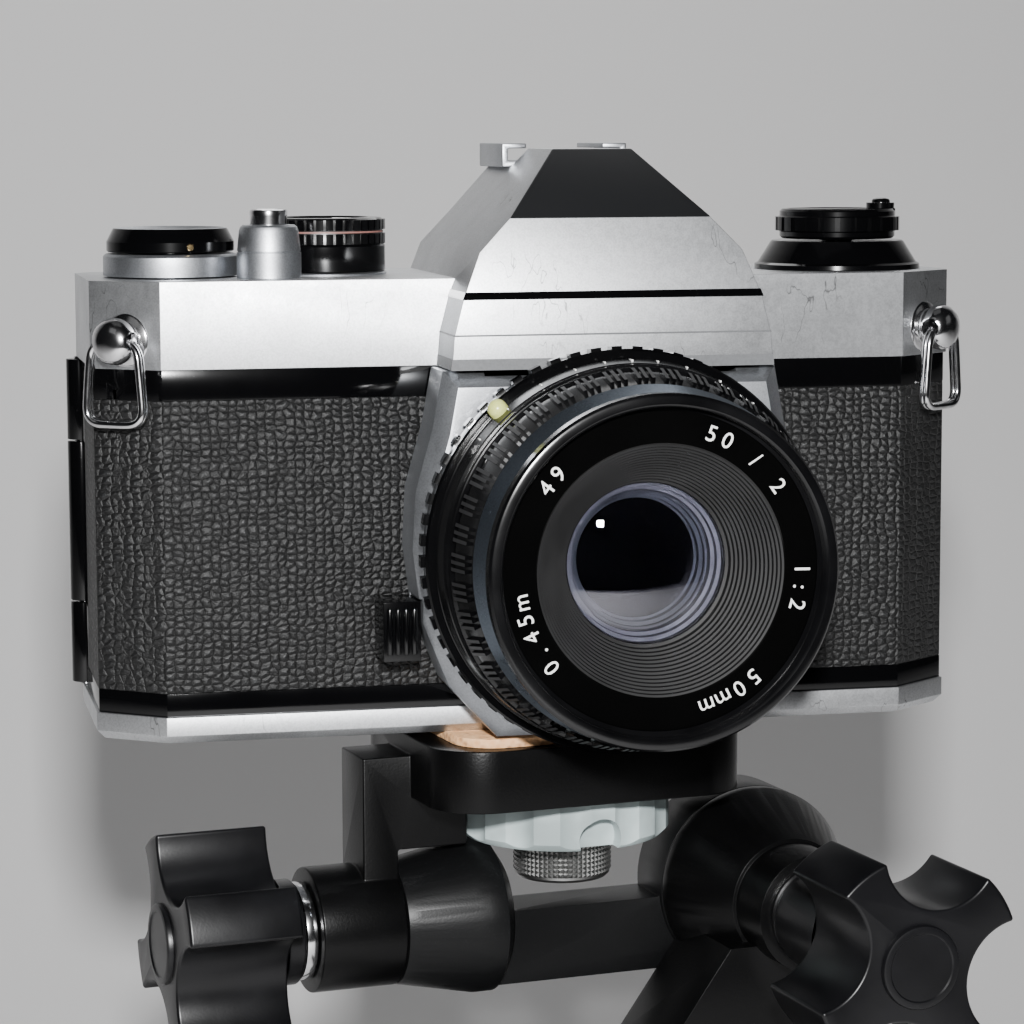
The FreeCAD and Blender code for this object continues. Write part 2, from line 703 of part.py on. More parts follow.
def make_accessory_shoe():
    front = ridge_back + 1.5
    back = front + shoe_length
    floor = shoe_z + 1
    roof = floor + 2.0
    base = box((-shoe_half, front, shoe_z), (shoe_half, back, floor))
    sides = [box((-shoe_half, front, shoe_z), (-shoe_slot, back, roof + 0.8)),
             box((shoe_slot, front, shoe_z), (shoe_half, back, roof + 0.8))]
    lips = [box((-shoe_half, front, roof), (-shoe_lip, back, roof + 0.8)),
            box((shoe_lip, front, roof), (shoe_half, back, roof + 0.8))]
    keep(fuse(base, *sides, *lips), "accessory_shoe", "camera")


def make_wind_controls():
    low = top_z + gap
    high = low + hub_height
    ring = turned("Z", [(post_radius + run, low), (hub_radius, low), (hub_radius, high - 0.4),
                        (hub_radius - 0.4, high),
                        (post_radius + run, high)])
    arm = padded("X", [(-lever_width / 2, low + 0.2), (lever_width / 2, low + 0.2),
                       (lever_width / 2, low + 2.4),
                       (-lever_width / 2, low + 2.4)], post_radius + 2, lever_reach)
    tip = rod("Z", lever_width / 2, low + 0.2, high + 1.4, (lever_reach, 0))
    lever = fuse(ring, arm, tip)
    lever.Label = "wind_lever"
    seat(lever, (hub_x - screw_x, hub_y - screw_y, camera_z), turn=lever_rest)
    kept.append(lever)
    post = turned("Z", [(0, top_z), (post_radius, top_z), (post_radius, high + gap),
                        (cap_radius, high + gap),
                        (cap_radius, high + gap + 1.8), (cap_radius - 0.9, high + gap + cap_height),
                        (cap_radius - 2.2, high + gap + cap_height),
                        (cap_radius - 2.2, high + gap + cap_height - 0.5),
                        (0, high + gap + cap_height - 0.5)])
    keep_at(post, "counter_cap", hub_x, hub_y, 0)
    collar = turned("Z", [(button_radius + run, top_z), (collar_radius, top_z),
                          (collar_radius, top_z + collar_height * 0.5),
                          (collar_radius - 0.6, top_z + collar_height - 0.3),
                          (collar_radius - 0.9, top_z + collar_height),
                          (button_radius + run, top_z + collar_height)])
    keep_at(collar, "release_collar", collar_x, collar_y, 0)
    crown = top_z + collar_height + button_rise
    low = crown - button_rise - button_travel - 2.3
    button = turned("Z", [(0, low), (button_radius, low), (button_radius, crown - 0.4),
                          (button_radius - 0.4, crown),
                          (cable_radius, crown), (cable_radius, crown - cable_depth),
                          (0, crown - cable_depth)])
    keep_at(button, "shutter_button", collar_x, collar_y, 0)
    base = top_z + dial_lift
    dial = turned("Z", [(0, cover_z - 1), (shutter_shaft, cover_z - 1), (shutter_shaft, base),
                        (dial_radius, base),
                        (dial_radius, base + dial_height - 0.5),
                        (dial_radius - 0.5, base + dial_height),
                        (dial_radius - 2.5, base + dial_height),
                        (dial_radius - 2.5, base + dial_height - 0.3),
                        (0, base + dial_height - 0.3)])
    keep_at(dial, "shutter_dial", dial_x, dial_y, 0)


def make_rewind_controls():
    top = top_z + rewind_base_height
    bore = rewind_shaft + gap
    collar = turned("Z", [(bore, top_z), (rewind_base, top_z), (rewind_base, top_z + 0.8),
                          (rewind_neck, top),
                          (bore, top)])
    keep_at(collar, "rewind_collar", rewind_x, rewind_y, 0)
    low = top + gap
    high = low + rewind_height
    knob = turned("Z", [(0, chamber_high - rewind_lift + 1),
                        (rewind_shaft, chamber_high - rewind_lift + 1), (rewind_shaft, low),
                        (rewind_radius - 0.8, low),
                        (rewind_radius, low + 0.8), (rewind_radius, high - 0.5),
                        (rewind_radius - 0.5, high), (0, high)])
    slot = box((2 - rewind_radius, -2.6, high - crank_slot), (rewind_radius + 1, 2.6, high + 1))
    fork = box((-0.7, -4, chamber_high - 8), (0.7, 4, chamber_high - 4))
    knob = cut(knob, slot, fork)
    keep_at(knob, "rewind_knob", rewind_x, rewind_y, 0)
    arm_low = high - crank_thickness
    crank = cut(fuse(box((3 - rewind_radius, -2.3, arm_low), (rewind_radius - 1, 2.3, high)),
                     rod("Z", 2.3, arm_low, high + 0.9, (rewind_radius - 2.8, 0))),
                rod("Y", 0.5, -4, 4, (3.8 - rewind_radius, high - crank_thickness / 2)))
    keep_at(crank, "rewind_crank", rewind_x, rewind_y, 0)
    deck = cover_z + 2
    plate = box((rewind_x - 5, rewind_y - 5, deck), (body_right - 1.6, body_depth - 0.4, deck + 1.2))
    hook = box((body_right - 3.8, body_depth - 3.4, cover_z - 3),
               (body_right - 1.6, body_depth - 0.4, deck + 1))
    keep(cut(fuse(plate, hook), rod("Z", rewind_shaft + run, cover_z, top_z, (rewind_x, rewind_y))),
         "door_latch",
         "camera")


def make_strap_fittings():
    lugs = []
    for side, end in ((-1, body_left), (1, body_right)):
        out, along = bevel_ways(side)
        foot = bevel_point(side, end, cover_lip)
        post = doc.addObject("Part::Cylinder", "lug_post")
        bind(post, "Radius", lug_radius)
        bind(post, "Height", lug_reach)
        seat(post, (*foot, lug_z), Rotation(Vector(0, 0, 1), out))
        eye = doc.addObject("Part::Cylinder", "lug_eye")
        bind(eye, "Radius", lug_eye)
        eye.Height = 20
        x, y = bevel_point(side, end, ring_stand)
        seat(eye, (x - along.x * 10, y - along.y * 10, lug_z), Rotation(Vector(0, 0, 1), along))
        lugs.append(cut(post, eye))
        make_strap_ring("strap_ring_left" if side < 0 else "strap_ring_right", x, y, along)
    keep(group(*lugs), "strap_lugs", "camera")


def bevel_ways(side):
    """Unit vectors square to a front corner bevel, outwards, and along it."""
    out = Vector(side * float(bevel_back), -float(bevel_side), 0).normalize()
    return out, Vector(-out.y, out.x, 0)


def bevel_point(side, end, stand):
    """A point above the middle of a front corner bevel."""
    out, along = bevel_ways(side)
    x = side * (end - bevel_side * 0.5)
    return x + stand * out.x, bevel_back * 0.5 + stand * out.y


def make_strap_ring(label, x, y, along):
    """A bent wire loop: its top bar lies in the lug's eye and its corners are rounded."""
    half, foot, drop = float(ring_top_half), float(ring_foot_half), float(ring_drop)
    corner = Part.makePolygon([Vector(half, 0, 0), Vector(foot, 0, -drop), Vector(-foot, 0, -drop),
                               Vector(-half, 0, 0), Vector(half, 0, 0)])
    path = rounded(corner, float(ring_bend))
    wire = Part.Wire(Part.makeCircle(float(ring_wire),
                                     path.Edges[0].valueAt(path.Edges[0].FirstParameter),
                                     path.Edges[0].tangentAt(path.Edges[0].FirstParameter)))
    loop = doc.addObject("Part::Feature", label)
    loop.Shape = path.makePipeShell([wire], True, False)
    loop.Label = label
    seat(loop, (x - screw_x, y - screw_y, camera_z + lug_z), Rotation(Vector(1, 0, 0), along))
    kept.append(loop)


def rounded(polygon, radius):
    """A closed wire of straight runs joined by arcs that touch them."""
    spots = [vertex.Point for vertex in polygon.OrderedVertexes]
    edges = []
    arcs = []
    for i, spot_here in enumerate(spots):
        before = (spots[i - 1] - spot_here).normalize()
        after = (spots[(i + 1) % len(spots)] - spot_here).normalize()
        half_turn = before.getAngle(after) / 2
        reach = radius / math.tan(half_turn)
        middle = (before + after).normalize()
        centre = spot_here + middle * (radius / math.sin(half_turn))
        arcs.append((spot_here + before * reach, centre - middle * radius, spot_here + after * reach))
    for i, (start, middle, end) in enumerate(arcs):
        edges.append(Part.Arc(start, middle, end).toShape())
        edges.append(Part.makeLine(end, arcs[(i + 1) % len(arcs)][0]))
    return Part.Wire(Part.__sortEdges__(edges))


def make_film_transport():
    spool_low, spool_high = chamber_low + 0.6, chamber_high - 0.6
    spool = turned("Z", [(0, spool_low), (spool_radius + 3, spool_low),
                         (spool_radius + 3, spool_low + 1.4),
                         (spool_radius, spool_low + 1.4), (spool_radius, spool_high - 1.4),
                         (spool_radius + 3, spool_high - 1.4),
                         (spool_radius + 3, spool_high), (0, spool_high)])
    keep_at(spool, "take_up_spool", spool_x, spool_y, 0)
    shaft = rod("Z", 2.6, spool_low, spool_high)
    wheels = []
    for middle in (lens_z - 14.1, lens_z + 14.1):
        wheels.append(rod("Z", sprocket_radius, middle - 1.6, middle + 1.6))
        for tooth in range(8):
            wheels.append(spoke(sprocket_radius - 0.8, sprocket_radius + 1.0, 1.2, middle - 0.7,
                                middle + 0.7, 45 * tooth))
    keep_at(fuse(shaft, *wheels), "sprocket", sprocket_x, sprocket_y, 0)
    rollers = [rod("Z", 1.0, box_low + 3, cover_z - 6,
                   (side * (box_half - 0.6), box_back + 1.4)) for side in (-1, 1)]
    curtain = box((1.0 - box_half, box_back + 1.3, lens_z - gate_height / 2 - 3),
                  (box_half - 1.0, box_back + 1.6, lens_z + gate_height / 2 + 3))
    keep(fuse(curtain, *rollers), "shutter_curtain", "camera")



def spoke(start, end, width, low, high, angle):
    """A flat bar that runs out from the Z axis between two radii, at an angle."""
    way = Vector(math.cos(math.radians(angle)), math.sin(math.radians(angle)), 0)
    corners = []
    for reach, side in ((start, -1), (end, -1), (end, 1), (start, 1)):
        half = width * side / 2
        corners.append((reach * way.x - half * way.y, reach * way.y + half * way.x))
    return padded("Z", corners, low, high)


def make_mirror():
    """The reflex mirror, drawn flat behind its hinge and then tipped down by its angle."""
    plate = box((-mirror_half, -mirror_length, -mirror_thickness), (mirror_half, 0, 0))
    pivot = rod("X", 0.9, -mirror_half - 0.8, mirror_half + 0.8)
    mirror = fuse(plate, pivot)
    mirror.Label = "reflex_mirror"
    seat(mirror, (-screw_x, mirror_pivot_y - screw_y, camera_z + mirror_pivot_z),
         Rotation(Vector(1, 0, 0), 0))
    mirror.Placement.Rotation = Rotation(Vector(1, 0, 0), 1)
    mirror.setExpression("Placement.Rotation.Angle", mirror_angle.text)
    kept.append(mirror)


# ---- lens, drawn about its own axis with the flange at y = 0 and its front towards -Y
def make_lens():
    y_ring = mount_depth + gap                        # depths in front of the flange
    y_scale = y_ring + aperture_depth + gap
    y_focus = y_scale + scale_depth + gap
    y_cone = y_focus + focus_depth + gap + 0.2
    y_rim = y_cone + cone_depth
    front = y_rim + rim_depth
    sleeve = lens_tube - 2.4
    bayonet = mount_bore - 1.4
    heel = -mount_depth - 0.05
    barrel = turned("Y", [(bayonet - 1.4, 3), (bayonet, 3), (bayonet, heel), (lens_tube, heel),
                          (lens_tube, -y_scale),
                          (scale_radius, -y_scale), (scale_radius - 0.6, -y_scale - scale_depth),
                          (lens_tube, -y_scale - scale_depth),
                          (lens_tube, -y_focus - focus_depth + 1.5),
                          (sleeve, -y_focus - focus_depth + 1.5), (sleeve, heel - 1.2),
                          (bayonet - 1.4, heel - 1.2)])
    keep(barrel, "lens_barrel", "lens")
    bore = lens_tube + run
    ring = turned("Y", [(bore, -y_ring), (aperture_radius - 1.0, -y_ring),
                        (aperture_radius, -y_ring - aperture_depth),
                        (bore, -y_ring - aperture_depth)])
    keep(ring, "aperture_ring", "lens")
    focus = turned("Y", [(bore, -y_focus), (focus_radius, -y_focus),
                         (focus_radius, -y_focus - focus_depth * 0.3),
                         (focus_front, -y_focus - focus_depth), (bore, -y_focus - focus_depth)])
    keep(focus, "focus_ring", "lens")
    inner = sleeve - run
    floor = front - filter_depth
    seat_y = floor - glass_recess
    front_part = turned("Y", [(inner, -y_ring - 1.5), (inner, -y_cone), (cone_radius, -y_cone),
                              (cone_front, -y_rim),
                              (rim_radius - 1.0, -y_rim), (rim_radius - 1.0, -y_rim - 1.2),
                              (rim_radius, -y_rim - 2.2),
                              (rim_radius, -front + 0.4), (rim_radius - 0.4, -front),
                              (filter_radius, -front),
                              (filter_radius, -floor), (filter_radius - name_step, -floor),
                              (filter_radius - name_step, name_depth - floor),
                              (name_inner + 0.4, name_depth - floor), (glass_radius, -seat_y),
                              (glass_radius, -seat_y + 6.5), (rear_glass, -seat_y + 6.5),
                              (rear_glass, -y_ring - 1.5)])
    keep(front_part, "front_barrel", "lens")
    name = turned("Y", [(name_inner + 0.4, name_depth - floor),
                        (filter_radius - name_step, name_depth - floor),
                        (filter_radius - name_step, -floor), (name_inner, -floor)])
    keep(name, "name_ring", "lens")
    ball = doc.addObject("Part::Sphere", "ball")
    bulge = glass_radius * 2.6
    bind(ball, "Radius", bulge)
    seat(ball, (0, bulge - seat_y - 2.2, 0))
    front_glass = common(rod("Y", glass_radius, -seat_y - 4, -seat_y + 6), ball)
    rear_ball = doc.addObject("Part::Sphere", "ball")
    bind(rear_ball, "Radius", bulge)
    seat(rear_ball, (0, -y_ring - 2.5 - bulge, 0))
    back_glass = common(rod("Y", rear_glass, -y_ring - 8, -y_ring - 1.5), rear_ball)
    keep(group(front_glass, back_glass), "lens_elements", "lens")
    sides = []
    for side in range(6):
        angle = math.radians(60 * side)
        sides.append((iris_hole * math.cos(angle), iris_hole * math.sin(angle)))
    iris = cut(rod("Y", rear_glass, -iris_y - 0.4, -iris_y),
               padded("Y", sides, -iris_y - 2, -iris_y + 2))
    keep(iris, "iris_blades", "lens")


# ---- three-way head; x along the fore-and-aft tilt axis, z from the camera's underside
def star_knob(axis, start, depth, hub_start, across, radius=None, turn=45):
    """A four-lobed clamping knob: lobes from start over depth, and a hub back to hub_start."""
    reach = radius or knob_radius
    low, high = (start, start + depth) if float(depth) > 0 else (start + depth, start)
    disc = rod(axis, reach, low, high, across)
    first, second = across
    scallops = []
    for quarter in range(4):
        angle = math.radians(turn + 90 * quarter)
        spread = reach * 1.06
        scallops.append(rod(axis, reach * 0.55, low - 1, high + 1,
                            (first + spread * math.cos(angle), second + spread * math.sin(angle))))
    hub_low, hub_high = (hub_start, low + 1) if float(hub_start) < float(low) else (high - 1, hub_start)
    hub = rod(axis, knob_hub if radius is None else radius * 0.5, hub_low, hub_high, across)
    bore = rod(axis, shaft_radius + run, low - 20, high + 20, across)
    face = (low, low + 3) if float(hub_start) > float(low) else (high - 3, high)
    plug = rod(axis, reach * 0.36, *face, across)
    return fuse(cut(fuse(cut(disc, *scallops), hub), bore), plug)


def make_platform():
    deck = -cork
    under = deck - plate_depth
    plate = padded("Z", [(-plate_left, -plate_half), (plate_right, -plate_half),
                         (plate_right, plate_half),
                         (-plate_left, plate_half)], under, deck)
    eased(plate, plate_corner, upright)
    arm = padded("Y", [(-arm_left, deck - 3), (-web_right, deck - 3), (-web_right, -web_low),
                       (-boss_right, -web_low),
                       (-boss_right, -tilt_z), (-arm_left, -tilt_z)], -arm_half, arm_half)
    boss = rod("X", boss_radius, -boss_left, -boss_right, (0, -tilt_z))
    holes = [rod("X", shaft_radius + run, -boss_left - 1, -boss_right + 1, (0, -tilt_z)),
             rod("Z", screw_radius + 0.4, under - 1, deck + 1)]
    keep(cut(fuse(plate, arm, boss), *holes), "platform", "head")
    pad = padded("Z", [(4 - plate_left, 2 - plate_half), (plate_right - 2, 2 - plate_half),
                       (plate_right - 2, plate_half - 2), (4 - plate_left, plate_half - 2)], -cork, 0)
    eased(pad, plate_corner - 2, upright)
    keep(cut(pad, rod("Z", screw_radius + 0.4, -cork - 1, 1)), "cork_pad", "head")


def make_camera_screw():
    shank_low = screw_head_low - 7.0
    screw = turned("Z", [(0, -screw_head_low), (screw_head - 0.6, -screw_head_low),
                         (screw_head, 0.6 - screw_head_low),
                         (screw_head, -shank_low), (screw_radius, -shank_low),
                         (screw_radius, screw_reach - 0.6),
                         (screw_radius - 0.6, screw_reach), (0, screw_reach)])
    keep(screw, "camera_screw", "head")
    low = wheel_top + wheel_depth
    disc = turned("Z", [(screw_radius + run, -low), (wheel_radius - 1.2, -low),
                        (wheel_radius, 1.2 - low),
                        (wheel_radius, -wheel_top), (screw_radius + run, -wheel_top)])
    dents = []
    for k in range(12):
        angle = math.radians(30 * k + 15)
        spread = wheel_radius + 4.2
        dents.append(rod("Z", 5.0, -low - 1, 1 - wheel_top,
                         (spread * math.cos(angle), spread * math.sin(angle))))
    notch = rod("Y", wheel_notch, -wheel_radius - 1, 4 - wheel_radius, (0, -low + 1.6))
    keep(cut(disc, *dents, notch), "lock_wheel", "head")


def make_tilt_housing():
    flare = turned("X", [(shaft_radius, -boss_right + gap), (boss_radius, -boss_right + gap),
                         (flare_radius, -flare_right - 1),
                         (flare_radius, -flare_right + 2), (flare_radius - 3, -flare_right + 4),
                         (shaft_radius, -flare_right + 4)])
    seat(flare, (0, 0, -tilt_z))
    bar = box((-flare_right - 1, -bar_half, -bar_low), (side_x - bell_radius + 4, bar_half, -bar_top))
    bell = turned("Y", [(0, bell_front), (bell_radius, bell_front), (bell_radius, bell_back - 4),
                        (bell_radius - 1.4, bell_back - 1.2), (bell_radius - 5, bell_back),
                        (0, bell_back)])
    seat(bell, (side_x, 0, -side_z))
    holes = [rod("X", shaft_radius, -boss_right - 1, 6 - flare_right, (0, -tilt_z)),
             rod("Y", shaft_radius + run, bell_front - 1, bell_back + 1, (side_x, -side_z))]
    keep(cut(fuse(flare, bar, bell), *holes), "tilt_housing", "head")
    washer = -boss_left - gap
    end = washer - washer_depth - tilt_hub - knob_depth + 4
    shaft = turned("X", [(0, end), (shaft_radius, end), (shaft_radius, washer - washer_depth),
                         (washer_radius, washer - washer_depth), (washer_radius, washer),
                         (shaft_radius, washer),
                         (shaft_radius, 6 - flare_right), (0, 6 - flare_right)])
    seat_at(shaft, "tilt_shaft", (0, 0, -tilt_z))
    start = washer - washer_depth - gap
    keep(star_knob("X", start - tilt_hub, -knob_depth, start, (0, -tilt_z), turn=20), "tilt_knob",
         "head")


def seat_at(thing, label, local):
    """Keeps a head part drawn about its own axis; local is that axis's place in the head's frame."""
    wrapped = doc.addObject("Part::Compound", "seated")
    wrapped.Links = [thing]
    seat(thing, local)
    keep(wrapped, label, "head")


def make_pan_housing():
    front = bell_front - gap
    cone = turned("Y", [(0, front), (bell_radius, front), (bell_radius, front - 2),
                        (bell_collar + 0.6, cone_end),
                        (bell_collar, cone_end), (bell_collar, collar_end), (0, collar_end)])
    seat(cone, (side_x, 0, -side_z))
    upper = doc.addObject("Part::Wedge", "upper_arm")
    lower = doc.addObject("Part::Wedge", "lower_arm")
    inner, outer = -front, -front + 18
    column_top = head_height - pan_depth - column_depth
    shape_wedge(upper, (-elbow_z, (side_x - 25, side_x + 1), (inner, outer)),
                (-side_z - 6, (side_x - 12, side_x + 13), (inner, outer)))
    shape_wedge(lower, (-column_top - 1, (-13, 15), (-12, 14)),
                (-elbow_z, (side_x - 25, side_x + 1), (inner, outer)))
    column = rod("Z", column_radius, -head_height + pan_depth + gap, -column_top)
    holes = [rod("Y", shaft_radius, collar_end - 1, front + 1, (side_x, -side_z)),
             rod("Z", spigot_radius + run, -head_height, -head_height + pan_depth + 7.5),
             rod("Y", pan_screw + run, 13, 30, (0, -pan_knob_z))]
    keep(cut(fuse(cone, upper, lower, column), *holes), "pan_housing", "head")
    washer = collar_end - gap
    nut = bell_back + gap
    shaft = turned("Y", [(0, nut + 3), (shaft_radius + 2, nut + 3), (shaft_radius + 2, nut),
                         (shaft_radius, nut),
                         (shaft_radius, washer), (washer_radius, washer),
                         (washer_radius, washer - washer_depth),
                         (shaft_radius, washer - washer_depth),
                         (shaft_radius, washer - washer_depth - side_hub - knob_depth + 4),
                         (0, washer - washer_depth - side_hub - knob_depth + 4)])
    seat_at(shaft, "side_shaft", (side_x, 0, -side_z))
    start = washer - washer_depth - gap
    keep(star_knob("Y", start - side_hub, -knob_depth, start, (side_x, -side_z), turn=78), "side_knob",
         "head")
    base = turned("Z", [(stud_radius + run, -head_height), (pan_radius, -head_height),
                        (pan_radius, -head_height + pan_depth - 1),
                        (pan_radius - 1, -head_height + pan_depth),
                        (spigot_radius, -head_height + pan_depth),
                        (spigot_radius, -head_height + pan_depth + 7),
                        (stud_radius + run, -head_height + pan_depth + 7)])
    keep(base, "pan_base", "head")
    lobes = column_radius + 7
    knob = fuse(cut(rod("Y", pan_knob_radius, lobes, lobes + pan_knob_depth, (0, -pan_knob_z)),
                    *[rod("Y", pan_knob_radius * 0.55, lobes - 1, lobes + pan_knob_depth + 1,
                          (pan_knob_radius * 1.06 * math.cos(math.radians(45 + 90 * k)),
                           -pan_knob_z + pan_knob_radius * 1.06 * math.sin(math.radians(45 + 90 * k))))
                      for k in range(4)]),
                rod("Y", pan_screw, 15, lobes + 1, (0, -pan_knob_z)),
                rod("Y", pan_screw + 1.2, column_radius + 1.5, lobes + 1, (0, -pan_knob_z)))
    keep(knob, "pan_knob", "head")


def shape_wedge(wedge, foot, head):
    """A block that tapers between two level rectangles: (height, x range, reach range towards -Y)."""
    for name, value in (("Ymin", foot[0]), ("Xmin", foot[1][0]), ("Xmax", foot[1][1]),
                        ("Zmin", foot[2][0]),
                        ("Zmax", foot[2][1]), ("Ymax", head[0]), ("X2min", head[1][0]),
                        ("X2max", head[1][1]),
                        ("Z2min", head[2][0]), ("Z2max", head[2][1])):
        bind(wedge, name, value)
    wedge.Placement = Placement(Vector(), Rotation(Vector(1, 0, 0), 90))


# ---- table tripod
def make_tripod():
    low = crown_top - crown_depth
    disc = turned("Z", [(0, low), (crown_radius - 3, low), (crown_radius, low + 3),
                        (crown_radius, crown_top - 2),
                        (crown_radius - 2, crown_top), (stud_radius, crown_top),
                        (stud_radius, crown_top + stud_length - 0.8),
                        (stud_radius - 0.8, crown_top + stud_length), (0, crown_top + stud_length)])
    slots, pin_holes, pins = [], [], []
    for number, angle in enumerate((-90, 30, 150)):
        slots.append(spoke(pivot_reach - eye_radius - 1, crown_radius + 5, leg_width + 2 * gap, low - 1,
                           crown_top - crown_roof, angle))
        pin = cross_rod(pin_radius, leg_width + 10, angle)
        pins.append(pin)
        pin_holes.append(cross_rod(pin_radius, leg_width + 30, angle))
        make_leg(number + 1, angle)
    keep(cut(disc, *slots, *pin_holes), "crown", "tripod")
    keep(group(*pins), "leg_pins", "tripod")


def cross_rod(radius, length, angle):
    """A rod square to a leg, through its pivot."""
    way = Rotation(Vector(0, 0, 1), angle)
    bar = doc.addObject("Part::Cylinder", "pin")
    bind(bar, "Radius", radius)
    bind(bar, "Height", length)
    out, across = way.multVec(Vector(1, 0, 0)), way.multVec(Vector(0, 1, 0))
    seat(bar, (pivot_reach * out.x - length * (across.x / 2),
               pivot_reach * out.y - length * (across.y / 2), pivot_z),
         way.multiply(Rotation(Vector(1, 0, 0), -90)))
    return bar


def make_leg(number, angle):
    """One leg, drawn along +X and then turned to its place."""
    half = leg_depth / 2
    limb = padded("Y", [(pivot_reach, pivot_z - half), (foot_reach + 4, ankle_z - half),
                        (foot_reach + 5, ankle_z + half - 2),
                        (foot_reach + 3, ankle_z + half), (pivot_reach, pivot_z + half + 1)],
                  -leg_width / 2, leg_width / 2)
    eye = rod("Y", eye_radius, -leg_width / 2, leg_width / 2, (pivot_reach, pivot_z))
    ankle = rod("Z", foot_pin, foot_height / 2, ankle_z, (foot_reach, 0))
    bore = rod("Y", pin_radius + run, -leg_width, leg_width, (pivot_reach, pivot_z))
    keep(cut(fuse(limb, eye, ankle), bore), f"leg_{number}", "tripod", angle)
    foot = cut(rod("Z", foot_radius, 0, foot_height, (foot_reach, 0)),
               rod("Z", foot_pin, foot_height / 2, foot_height + 1, (foot_reach, 0)))
    keep(foot, f"foot_{number}", "tripod", angle)


make_body_casting()
make_front_coverings()
make_top_cover()
make_prism_panel()
make_base_plate()
make_front_casting()
make_lens_release()
make_door()
make_viewfinder()
make_accessory_shoe()
make_wind_controls()
make_rewind_controls()
make_strap_fittings()
make_film_transport()
make_mirror()
make_lens()
make_platform()
make_camera_screw()
make_tilt_housing()
make_pan_housing()
make_tripod()

# ---- check and write
doc.recompute()
troubles = [f"{thing.Name} ({thing.Label}): {thing.State}" for thing in doc.Objects
            if "Invalid" in thing.State or "Error" in thing.State]
for thing in kept:
    shape = thing.Shape
    if shape.isNull() or not shape.isValid() or not shape.Solids:
        troubles.append(f"{thing.Label}: shape is null, open or not valid")
if len({thing.Label for thing in kept}) != len(kept):
    troubles.append("two sub-parts share a name")
if troubles:
    raise RuntimeError("\n".join(troubles))

os.makedirs("parts", exist_ok=True)
for thing in kept:
    thing.Shape.exportStep(f"parts/{thing.Label}.step")
print(len(kept), "sub-parts written")
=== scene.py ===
import bpy
import json
import math
from mathutils import Matrix, Vector


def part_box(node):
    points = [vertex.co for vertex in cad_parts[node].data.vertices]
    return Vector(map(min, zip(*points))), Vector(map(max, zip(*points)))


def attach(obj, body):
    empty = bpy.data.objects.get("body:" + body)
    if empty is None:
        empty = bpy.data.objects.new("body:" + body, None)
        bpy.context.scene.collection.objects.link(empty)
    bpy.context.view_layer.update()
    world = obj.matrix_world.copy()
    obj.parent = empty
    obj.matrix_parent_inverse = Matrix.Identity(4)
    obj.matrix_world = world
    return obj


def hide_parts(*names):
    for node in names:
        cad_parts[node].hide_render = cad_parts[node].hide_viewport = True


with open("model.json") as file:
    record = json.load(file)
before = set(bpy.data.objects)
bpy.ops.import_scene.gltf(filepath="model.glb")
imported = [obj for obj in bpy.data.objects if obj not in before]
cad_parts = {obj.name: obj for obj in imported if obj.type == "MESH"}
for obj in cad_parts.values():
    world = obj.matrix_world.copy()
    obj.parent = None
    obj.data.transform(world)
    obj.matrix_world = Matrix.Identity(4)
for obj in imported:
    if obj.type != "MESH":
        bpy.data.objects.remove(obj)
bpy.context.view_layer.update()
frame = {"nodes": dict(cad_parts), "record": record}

mm = 0.001
headYaw = math.radians(9)
frontAim = Matrix.Rotation(math.radians(90), 4, "X")     # local Z becomes the way the lens looks
headAim = Matrix.Rotation(headYaw, 4, "Z")


# a value in a shader, on which arithmetic adds nodes
class Value:
    def __init__(self, shader, socket):
        self.shader = shader
        self.socket = socket

    def math(self, kind, *others, flip=False):
        inputs = [self, *others]
        if flip:
            inputs.reverse()
        return self.shader.node("ShaderNodeMath", {"operation": kind}, dict(enumerate(inputs)))

    def __add__(self, other): return self.math("ADD", other)
    def __radd__(self, other): return self.math("ADD", other)
    def __sub__(self, other): return self.math("SUBTRACT", other)
    def __rsub__(self, other): return self.math("SUBTRACT", other, flip=True)
    def __mul__(self, other): return self.math("MULTIPLY", other)
    def __rmul__(self, other): return self.math("MULTIPLY", other)
    def __truediv__(self, other): return self.math("DIVIDE", other)

    def spread(self, low, high, newLow=0.0, newHigh=1.0):
        stops = {0: self, 1: low, 2: high, 3: newLow, 4: newHigh}
        return self.shader.node("ShaderNodeMapRange", {"clamp": True}, stops)


